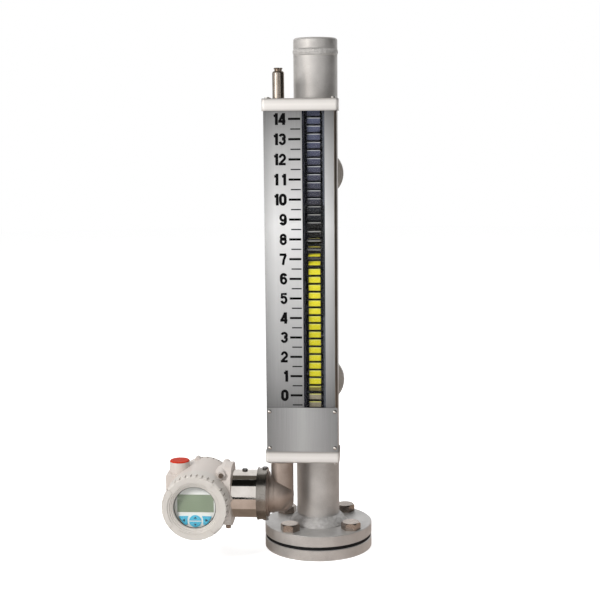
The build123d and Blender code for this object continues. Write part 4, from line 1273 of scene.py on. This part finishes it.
@dataclass
class DisplayFace(Assembly):
    """The display with the keys on its face and a ring of painted shade at the rim of its glass, sizes in
    millimetres.
    """

    centre_x: float = -162.0
    face: float = -103.4
    key_depth: float = 0.9
    sunk: float = 0.02
    edge: float = 0.25
    key_z: float = 65.4
    key_radius: float = 8.5
    key_gap: float = 0.9
    key_steps: int = 20
    side_corners: tuple[Point, ...] = (
        (-9.2, 72.6), (-22.4, 72.2), (-20.9, 68.3), (-19.0, 65.0), (-16.9, 62.2),
        (-14.4, 60.2), (-11.0, 60.4), (-10.6, 63.0), (-10.9, 66.0), (-10.4, 69.4),
    )
    mark_depth: float = 0.07
    mark_front: float = 0.05
    glass_x: float = -161.5
    glass_z: float = 86.1
    glass_front: float = -110.42
    glass_radius: float = 28.9
    border_width: float = 0.9
    border_depth: float = 0.05

    looks = {FACE_PLASTIC: "display_module", LcdFinish("blank_screen"): "lcd_panel"}

    def key(self, name: str, points: Sequence[Point]) -> Piece:
        """A key with an eased edge, a little sunk into the face."""
        return outline_slab(name, points, self.face - self.key_depth, self.key_depth - self.sunk, self.edge)

    def keys(self) -> Piece:
        """Builds the left, the right and the halved round middle key as one piece.

        Returns:
            The joined keys.
        """
        start = math.asin(self.key_gap / self.key_radius)
        span, steps = math.pi - 2 * start, self.key_steps
        angles = [start + i * span / steps for i in range(steps + 1)]
        upper, lower = [
            [
                (self.centre_x + self.key_radius * math.cos(a), self.key_z + rise * math.sin(a))
                for a in angles
            ]
            for rise in (self.key_radius, -self.key_radius)
        ]
        left = [(self.centre_x + x, z) for x, z in self.side_corners]
        right = [(self.centre_x - x, z) for x, z in self.side_corners]
        outlines = (left, right[::-1], upper, lower[::-1])
        names = ("left_key", "right_key", "upper_key", "lower_key")
        return join([self.key(*pair) for pair in zip(names, outlines)], "display_keys")

    def marks(self) -> Piece:
        """Builds the small arrows on the keys as one piece.

        Returns:
            The joined arrows.
        """
        front = self.face - self.key_depth - self.mark_front
        x, z = self.centre_x, self.key_z
        shapes = {
            "up_mark": [(x - 2.2, z + 3.6), (x + 2.2, z + 3.6), (x, z + 6.4)],
            "down_mark": [(x + 2.2, z - 3.6), (x - 2.2, z - 3.6), (x, z - 6.4)],
            "left_mark": [(x - 14.0, 64.4), (x - 14.0, 69.0), (x - 17.6, 66.7)],
            "right_mark": [(x + 14.0, 69.0), (x + 14.0, 64.4), (x + 17.6, 66.7)],
        }
        arrows = [outline_slab(name, points, front, self.mark_depth) for name, points in shapes.items()]
        return join(arrows, "key_marks")

    def border(self) -> Piece:
        """Builds a dark ring around the rim of the glass, painted shade where the cover's recess shades the
        glass.

        Returns:
            The ring.
        """
        pick()
        bpy.ops.mesh.primitive_circle_add(
            vertices=ROUND_SIDES,
            radius=self.glass_radius * MM,
            fill_type="NGON",
            location=(self.glass_x * MM, self.glass_front * MM, self.glass_z * MM),
            rotation=(math.pi / 2, 0, 0),
        )
        bpy.ops.object.mode_set(mode="EDIT")
        bpy.ops.mesh.select_all(action="SELECT")
        bpy.ops.mesh.inset(thickness=self.border_width * MM, depth=0.0)
        bpy.ops.mesh.delete(type="FACE")
        bpy.ops.object.mode_set(mode="OBJECT")
        piece = settle(bpy.context.object)
        piece.name = "glass_recess_shade"
        return modified(piece, "SOLIDIFY", thickness=self.border_depth * MM, offset=1.0)

    def build(self) -> None:
        """Dresses the display's nodes and builds the keys, their arrows and the ring of painted shade."""
        super().build()
        finish_piece(self.keys(), KEY_BLUE, "head")
        finish_piece(self.marks(), MARK_GREY, "head")
        finish_piece(self.border(), RECESS_SHADE_RING, "front_glass")


class TransmitterHead(Assembly):
    """The two-chamber housing with its covers, entries and inner parts."""

    looks = {
        HOUSING_PAINT: "transmitter_housing",
        COVER_PAINT: "front_cover rear_cover",
        GLASS_CLEAR: "cover_glass",
        RUBBER_BLACK: "front_cover_seal rear_cover_seal",
        BOARD_GREEN: "electronics_board",
        TERMINAL_BLACK: "terminal_block",
        SCREW_METAL: "terminal_screws",
        PROBE_METAL: "blanking_plug",
        HEAD_SCREW: "cover_lock_screw ground_screw",
        TRANSIT_RED: "entry_plug",
    }


@dataclass(frozen=True)
class Lamp:
    """A soft rectangular lamp that mirrors don't show, in metres and watts."""

    name: str
    place: Place
    target: Place
    size: Point
    watts: float

    def build(self) -> None:
        """Hangs the lamp and points it at its target."""
        data = bpy.data.lights.new(self.name, "AREA")
        data.shape = "RECTANGLE"
        data.size, data.size_y = self.size
        data.energy = self.watts
        lamp = bpy.data.objects.new(self.name, data)
        bpy.context.collection.objects.link(lamp)
        lamp.location = self.place
        ahead = Vector(self.target) - Vector(self.place)
        lamp.rotation_euler = ahead.to_track_quat("-Z", "Y").to_euler()
        lamp.visible_glossy = False


@dataclass(frozen=True)
class Card:
    """A studio card that only reflections see, between two corners in metres."""

    name: str
    low: Place
    high: Place
    colour: Colour
    strength: float = 1.0

    def build(self) -> None:
        """Sets the card up and makes it glow."""
        card = slab(self.name, [v / MM for v in self.low], [v / MM for v in self.high])
        sheet = ShaderSheet(self.name + "_cloth")
        sheet.shade(Base_Color=BLACK, Specular_IOR_Level=0.0)
        sheet.shade(Emission_Color=self.colour, Emission_Strength=self.strength)
        card.data.materials.append(sheet.material)
        card.visible_camera = card.visible_shadow = False
        card.visible_diffuse = card.visible_transmission = False


DARK_CARD = tone(22, 22, 20)
LAMPS = (
    Lamp("key", (-1.3, -1.7, 1.5), (0, 0, 0.3), (0.5, 0.7), 44.0),
    Lamp("fill", (1.7, -1.6, 0.9), (0, 0, 0.3), (1.0, 1.4), 6.0),
    Lamp("top", (-0.2, 0.1, 2.2), (0, 0, 0.4), (1.0, 1.0), 12.0),
)
CARDS = (
    Card("overhead_card", (-1.5, -1.35, 1.6), (1.3, -0.22, 1.61), DARK_CARD),
    Card("ceiling_card", (-1.5, -0.21, 1.6), (1.3, 0.5, 1.61), tone(98, 94, 88)),
    Card("under_arm_card", (-0.25, -0.115, 0.0025), (-0.04, 0.05, 0.003), tone(140, 126, 114)),
    Card("front_left_card", (-2.0, -1.46, 0.0), (-0.95, -1.45, 1.7), tone(255, 250, 245), 4.2),
    Card("front_right_card", (0.25, -2.3, 0.0), (1.4, -2.29, 1.8), tone(150, 146, 142)),
    Card("right_card", (0.9, -1.0, 0.0), (0.91, 0.6, 1.5), tone(60, 58, 56)),
    Card("left_card", (-1.31, 0.1, 0.0), (-1.3, 1.3, 1.8), tone(130, 128, 126)),
    Card("table_card", (-1.2, -0.45, 0.001), (1.2, 1.2, 0.002), tone(206, 190, 179)),
    Card("near_line_card", (-0.27, -0.9, 0.001), (-0.11, -0.46, 0.002), DARK_CARD),
    Card("far_line_card", (-0.42, -2.2, 0.001), (-0.2, -0.91, 0.002), DARK_CARD),
)


@dataclass
class Studio:
    """Floor, world, lamps, cards and camera; lengths in metres and angles in degrees."""

    floor_radius: float = 6.0
    floor_tone: Colour = (0.82, 0.82, 0.82)
    floor_roughness: float = 0.9
    glow: float = 0.72
    ambient: float = 0.32
    camera_at: Place = (0.0901, -1.7192, 0.5901)
    pan: float = -3.79
    tilt: float = 7.79
    roll: float = -0.49
    focal_pixels: float = 1238.8
    frame_pixels: float = 600.0
    sensor: float = 36.0
    clip: float = 50.0

    def camera(self) -> None:
        """Sets up the camera of the photograph's viewing angle."""
        pan, tilt, roll = (math.radians(value) for value in (self.pan, self.tilt, self.roll))
        forward = Vector((math.sin(pan) * math.cos(tilt), math.cos(pan) * math.cos(tilt), -math.sin(tilt)))
        right = Vector((math.cos(pan), -math.sin(pan), 0.0))
        up = right.cross(forward)
        turned_right = right * math.cos(roll) + up * math.sin(roll)
        turned_up = up * math.cos(roll) - right * math.sin(roll)
        matrix = Matrix((turned_right, turned_up, -forward)).transposed().to_4x4()
        matrix.translation = Vector(self.camera_at)
        data = bpy.data.cameras.new("studio_camera")
        camera = bpy.data.objects.new("studio_camera", data)
        bpy.context.collection.objects.link(camera)
        data.sensor_fit = "HORIZONTAL"
        data.sensor_width = self.sensor
        data.lens = self.sensor * self.focal_pixels / self.frame_pixels
        data.clip_end = self.clip
        camera.matrix_world = matrix
        bpy.context.scene.camera = camera

    def floor(self) -> None:
        """Lays the pale floor under the gauge, which glows where it is seen."""
        pick()
        bpy.ops.mesh.primitive_circle_add(
            vertices=ROUND_SIDES, radius=self.floor_radius, fill_type="NGON", location=(0, 0, 0)
        )
        floor = settle(bpy.context.object)
        floor.name = "floor"
        sheet = ShaderSheet("pale_floor")
        sheet.shade(Base_Color=self.floor_tone, Roughness=self.floor_roughness, Specular_IOR_Level=0.0)
        glow = sheet.add("ShaderNodeEmission")
        sheet.feed(glow.inputs["Color"], WHITE)
        sheet.feed(glow.inputs["Strength"], sheet.math("MULTIPLY", sheet.seen(), self.glow))
        total = sheet.add("ShaderNodeAddShader")
        for socket, source in zip(total.inputs, (sheet.shader, glow)):
            sheet.feed(socket, source.outputs[0])
        sheet.feed(sheet.output.inputs["Surface"], total.outputs[0])
        floor.data.materials.append(sheet.material)

    def world(self) -> None:
        """Makes the backdrop white and the ambient light mild."""
        world = bpy.data.worlds.new("studio_world")
        bpy.context.scene.world = world
        world.use_nodes = True
        sheet = NodeSheet(world.node_tree)
        background = sheet.tree.nodes["Background"].inputs
        sheet.feed(background["Strength"], sheet.ranged(sheet.seen(), result=(self.ambient, 1.0)))
        sheet.feed(background["Color"], WHITE)

    def build(self) -> None:
        """Builds the whole studio."""
        bpy.context.scene.view_settings.view_transform = "Standard"
        self.floor()
        self.world()
        for piece in (*LAMPS, *CARDS):
            piece.build()
        self.camera()


def main() -> None:
    """Dresses the gauge from the chamber outwards and sets up the studio."""
    logging.basicConfig(level=logging.INFO, format="%(name)s %(message)s")
    groups = (Chamber(), Header(), Scale(), FlagColumn(), ProbeArm(), TransmitterHead(), DisplayFace())
    for group in (*groups, Studio()):
        group.build()


if __name__ == "__main__":
    main()
